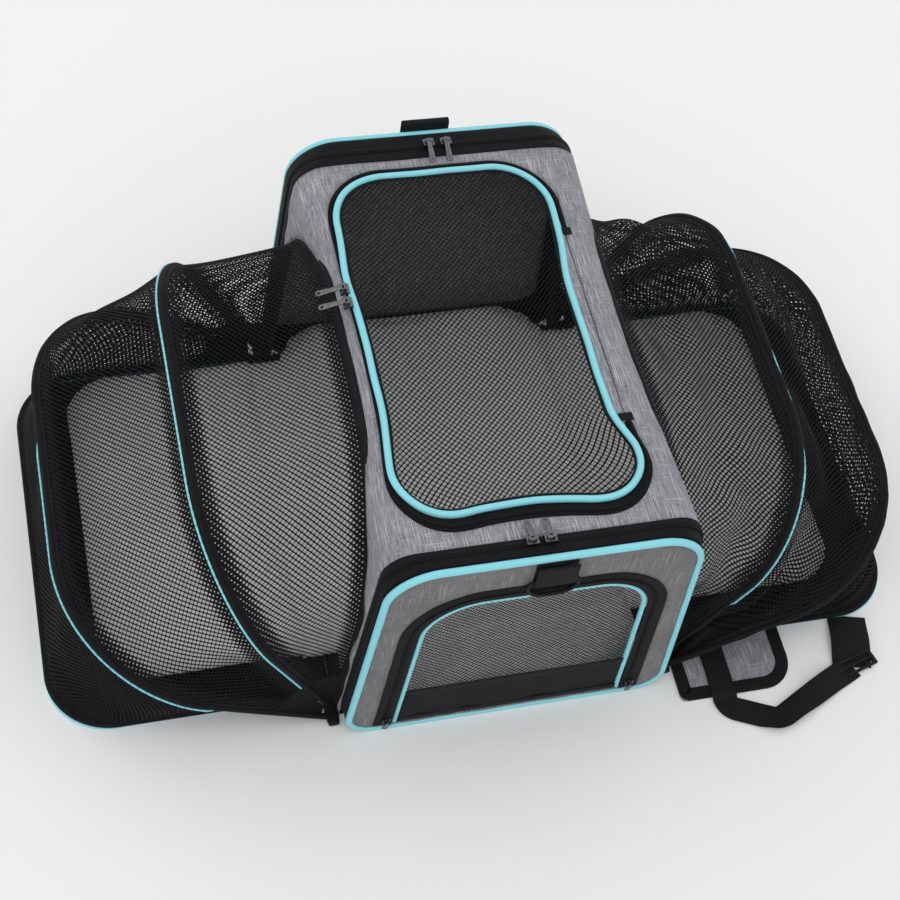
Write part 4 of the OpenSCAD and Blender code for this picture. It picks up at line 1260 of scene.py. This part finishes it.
# ---------- pads ----------
def cushion(node, body, cap):
    """A stuffed pad: its cloth is blown up from a slimmer start, and kept near its place."""
    shrink, frames = 0.0015, 20
    scene = bpy.context.scene
    obj = bpy.data.objects.new(node + "_fleece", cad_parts[node].data.copy())
    scene.collection.objects.link(obj)
    low, high = (np.array(v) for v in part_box(node))
    middle, size = (low + high) / 2, high - low
    slimmer = (size - 2 * shrink) / size
    set_points(obj, middle + (points_of(obj) - middle) * slimmer)
    remesh = obj.modifiers.new("remesh", "REMESH")
    remesh.mode, remesh.voxel_size = "VOXEL", 0.005
    apply_modifiers(obj)
    rest = points_of(obj)
    cloth = obj.modifiers.new("cloth", "CLOTH")
    cloth.settings.use_pressure = True
    cloth.settings.uniform_pressure_force = 4.0
    cloth.settings.quality = 6
    cloth.settings.effector_weights.gravity = 0
    cloth.point_cache.frame_start, cloth.point_cache.frame_end = 1, frames
    for k in range(1, frames + 1):
        scene.frame_set(k)
    apply_modifiers(obj)
    step = points_of(obj) - rest
    far = np.linalg.norm(step, axis=1)[:, None]
    moved = rest + step * np.minimum(1, cap / np.maximum(far, 1e-9))
    moved[:, 2] = np.maximum(moved[:, 2], low[2])
    set_points(obj, moved)
    scene.frame_set(1)
    co = points_of(obj)
    now = co.min(0), co.max(0)
    co[:, :2] = (low + (co - now[0]) * size / (now[1] - now[0]))[:, :2]
    edge = np.minimum(co - low, high - co)[:, :2].min(1)
    co[:, 2] += np.where(co[:, 2] > middle[2], ripple(co, 0.0011, 61, 0.09) * smooth(edge, 0.0, 0.03), 0)
    set_points(obj, co)
    smooth_more = obj.modifiers.new("subdivision", "SUBSURF")
    smooth_more.levels = smooth_more.render_levels = 1
    apply_modifiers(obj)
    obj.data.materials.clear()
    obj.data.materials.append(FLEECE)
    obj.data.polygons.foreach_set("use_smooth", [True] * len(obj.data.polygons))
    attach(obj, body)
    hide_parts(node)


# ---------- webbing, pocket and loops ----------
def side_pocket():
    x0, x1, y0 = 0.166, 0.281, -0.250
    y1 = WING_Y - WING_HALF - FINE_R - SEAM
    shape = outline([(x0, y1), (x0, y0), (x1, y0), (x1, y1)], [0, 0.006, 0.030, 0])

    def place(points):
        away = smooth(nearest(points, shape)[1], 0.012, 0.03)
        p = flat(points, 0.0012)
        p[:, 2] += away * (0.0012 + ripple(p, 0.0006, 71))
        return p

    cloth = patch("pocket_cloth", shape[::-1], [], 0.004, place, GREY, "right_wing", 0.001)
    edge = 0.0062
    inner = outline([(x0 + edge, y1), (x0 + edge, y0 + edge), (x1 - edge, y0 + edge), (x1 - edge, y1)],
                    [0, 0.003, 0.024, 0], False, 0.003)
    hem = sweep("pocket_binding", flat(inner, 0.0014), UP, slab(0.0125, 0.0020), BINDING, "right_wing")
    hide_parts("side_pocket")


def side_strap():
    """A short run from the wing to the buckle, and a tail that turns on its edge and back to the wing."""
    rest_z, free_run = 0.0011, 0.115
    foot, buckle = np.array([0.3535, -0.1900]), np.array([0.341, -0.242])
    t = np.linspace(0, 1, 24)
    path = flat(foot + (buckle - foot) * t[:, None], rest_z + 0.004 * np.sin(math.pi * t) ** 2)
    ribbon("strap_short_run", path, (0.97, -0.24, 0), 0.038, STRAP_T, WEBBING, "right_wing")
    line = outline([buckle, (0.253, -0.283), (0.208, -0.262), (0.208, -0.1895)], [0, 0.014, 0.013, 0], False)
    turn = math.pi * np.clip(reach_of(line) / free_run, 0, 1)
    over = smooth(line[:, 1], -0.2535, -0.2495) * (line[:, 0] < 0.22)
    path = flat(line, rest_z + 0.0021 * over + 0.0045 * np.sin(turn) ** 2)
    across = np.cross(directions(path), UP)
    tilt = 0.42 * np.sin(2 * turn)
    wide = across * np.cos(tilt)[:, None] + UP * np.sin(tilt)[:, None] * 0.6
    path[:, 2] += np.abs(np.sin(tilt)) * 0.012 * 0.6
    tail = ribbon("strap_tail", path, wide, 0.024, STRAP_T, WEBBING, "right_wing")
    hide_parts("side_strap")


def loops():
    """The folded webbing at the top of both ends. The front one holds the ring."""
    ring_y, ring_z, r = -0.2324, 0.249, 0.0029
    line = [(ring_y + r, ring_z + 0.0235 - k * 0.003) for k in range(7)]
    line += [(ring_y + r * math.cos(a), ring_z - r * math.sin(a)) for a in np.linspace(0, math.pi, 14)]
    line += [(ring_y - r + 0.0011 * k / 7, ring_z + 0.003 * k) for k in range(1, 9)]
    path = [(0.004, y, z) for y, z in line]
    front = ribbon("front_loop", path, (1, 0, 0), 0.035, LOOP_T, WEBBING, "bag_body")
    mid_y, top, r = 0.2335, 0.2845, 0.0028
    line = [(mid_y - r, 0.268 + 0.003 * k) for k in range(6)]
    line += [(mid_y - r * math.cos(a), top + r * math.sin(a)) for a in np.linspace(0, math.pi, 12)]
    line += [(mid_y + r, top - 0.003 * k) for k in range(1, 6)]
    path = [(-0.005, y, z) for y, z in line]
    ribbon("back_loop", path, (1, 0, 0), 0.044, LOOP_T, WEBBING, "bag_body")
    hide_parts("strap_loops")


# ---------- zip pulls ----------
def zip_pull(node):
    """A flat tab with an eye at its tip, on a ring that hangs from the slider's bail."""
    co = points_of(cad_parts[node])
    middle = co.mean(0)
    axes = np.linalg.svd(co - middle, full_matrices=False)[2]
    bail = np.mean([np.array(v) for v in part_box(node.replace("pull", "slider"))], 0)
    along = axes[0] * (1 if (middle - bail) @ axes[0] > 0 else -1)
    up = axes[2] * (1 if axes[2] @ np.array([0, -0.6, 0.8]) > 0 else -1)
    wide = np.cross(up, along)
    reach = (co - middle) @ along
    start, long = middle + along * reach.min(), reach.max() - reach.min()
    neck, eye, neck_w, tip_w, hole_r = 0.0042, long - 0.0030, 0.0019, 0.0029, 0.0014

    def place(points):
        return start + points[:, :1] * along + points[:, 1:] * wide

    def ring(label, at, r, wire, squash=1.0):
        path = place(np.array(circle(r, 28, squash)) + [at, 0])
        return sweep(f"{node}_{label}", path, up, circle(wire, 8), METAL, None, True)

    edge = outline([(neck, -neck_w), (long, -tip_w), (long, tip_w), (neck, neck_w)],
                   [0.0012, 0.0028, 0.0028, 0.0012], step=0.0005)
    hole = np.array(circle(hole_r, 20)) + [eye, 0]
    tab = patch(node + "_tab", edge, [hole], 0.001, place, METAL, None, 0.0013, 0.0)
    rings = ring("eye", eye, 0.0022, 0.0008), ring("link", 0.0028, 0.0026, 0.0007, 0.85)
    tab = join(node + "_tab", [tab, *rings])
    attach(tab, node)
    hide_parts(node)


cabin_cloth()
end_bands()
end_panels()
opening_edges()
front_door()
hatch_surround()
top_hatch()
for side_name, side_sign in SIDES.items():
    for hood_name in HOODS:
        hood(side_name, side_sign, hood_name)
    for bow_name in ("bow_1", "bow_2"):
        bow(side_name, side_sign, bow_name)
    wing(side_name, side_sign)
    hinge_cover(side_name, side_sign)
    hinge_boots(side_name, side_sign)
side_pocket()
side_strap()
loops()
cushion("cabin_pad", "bag_body", 0.008)
cushion("left_wing_pad", "left_wing", 0.007)
cushion("right_wing_pad", "right_wing", 0.007)
for pull_name in [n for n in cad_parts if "_pull_" in n]:
    zip_pull(pull_name)

# ---------- CAD pieces that show as they are ----------
DRESS = {"base_board": COVER, "hinge_rolls": COVER, "wire_frames": METAL, "strap_adjuster": PLASTIC,
         "d_ring": PLASTIC}
for node_name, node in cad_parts.items():
    finish = DRESS.get(node_name, METAL if "slider" in node_name else None)
    if finish:
        for slot_of in node.material_slots:
            slot_of.material = finish
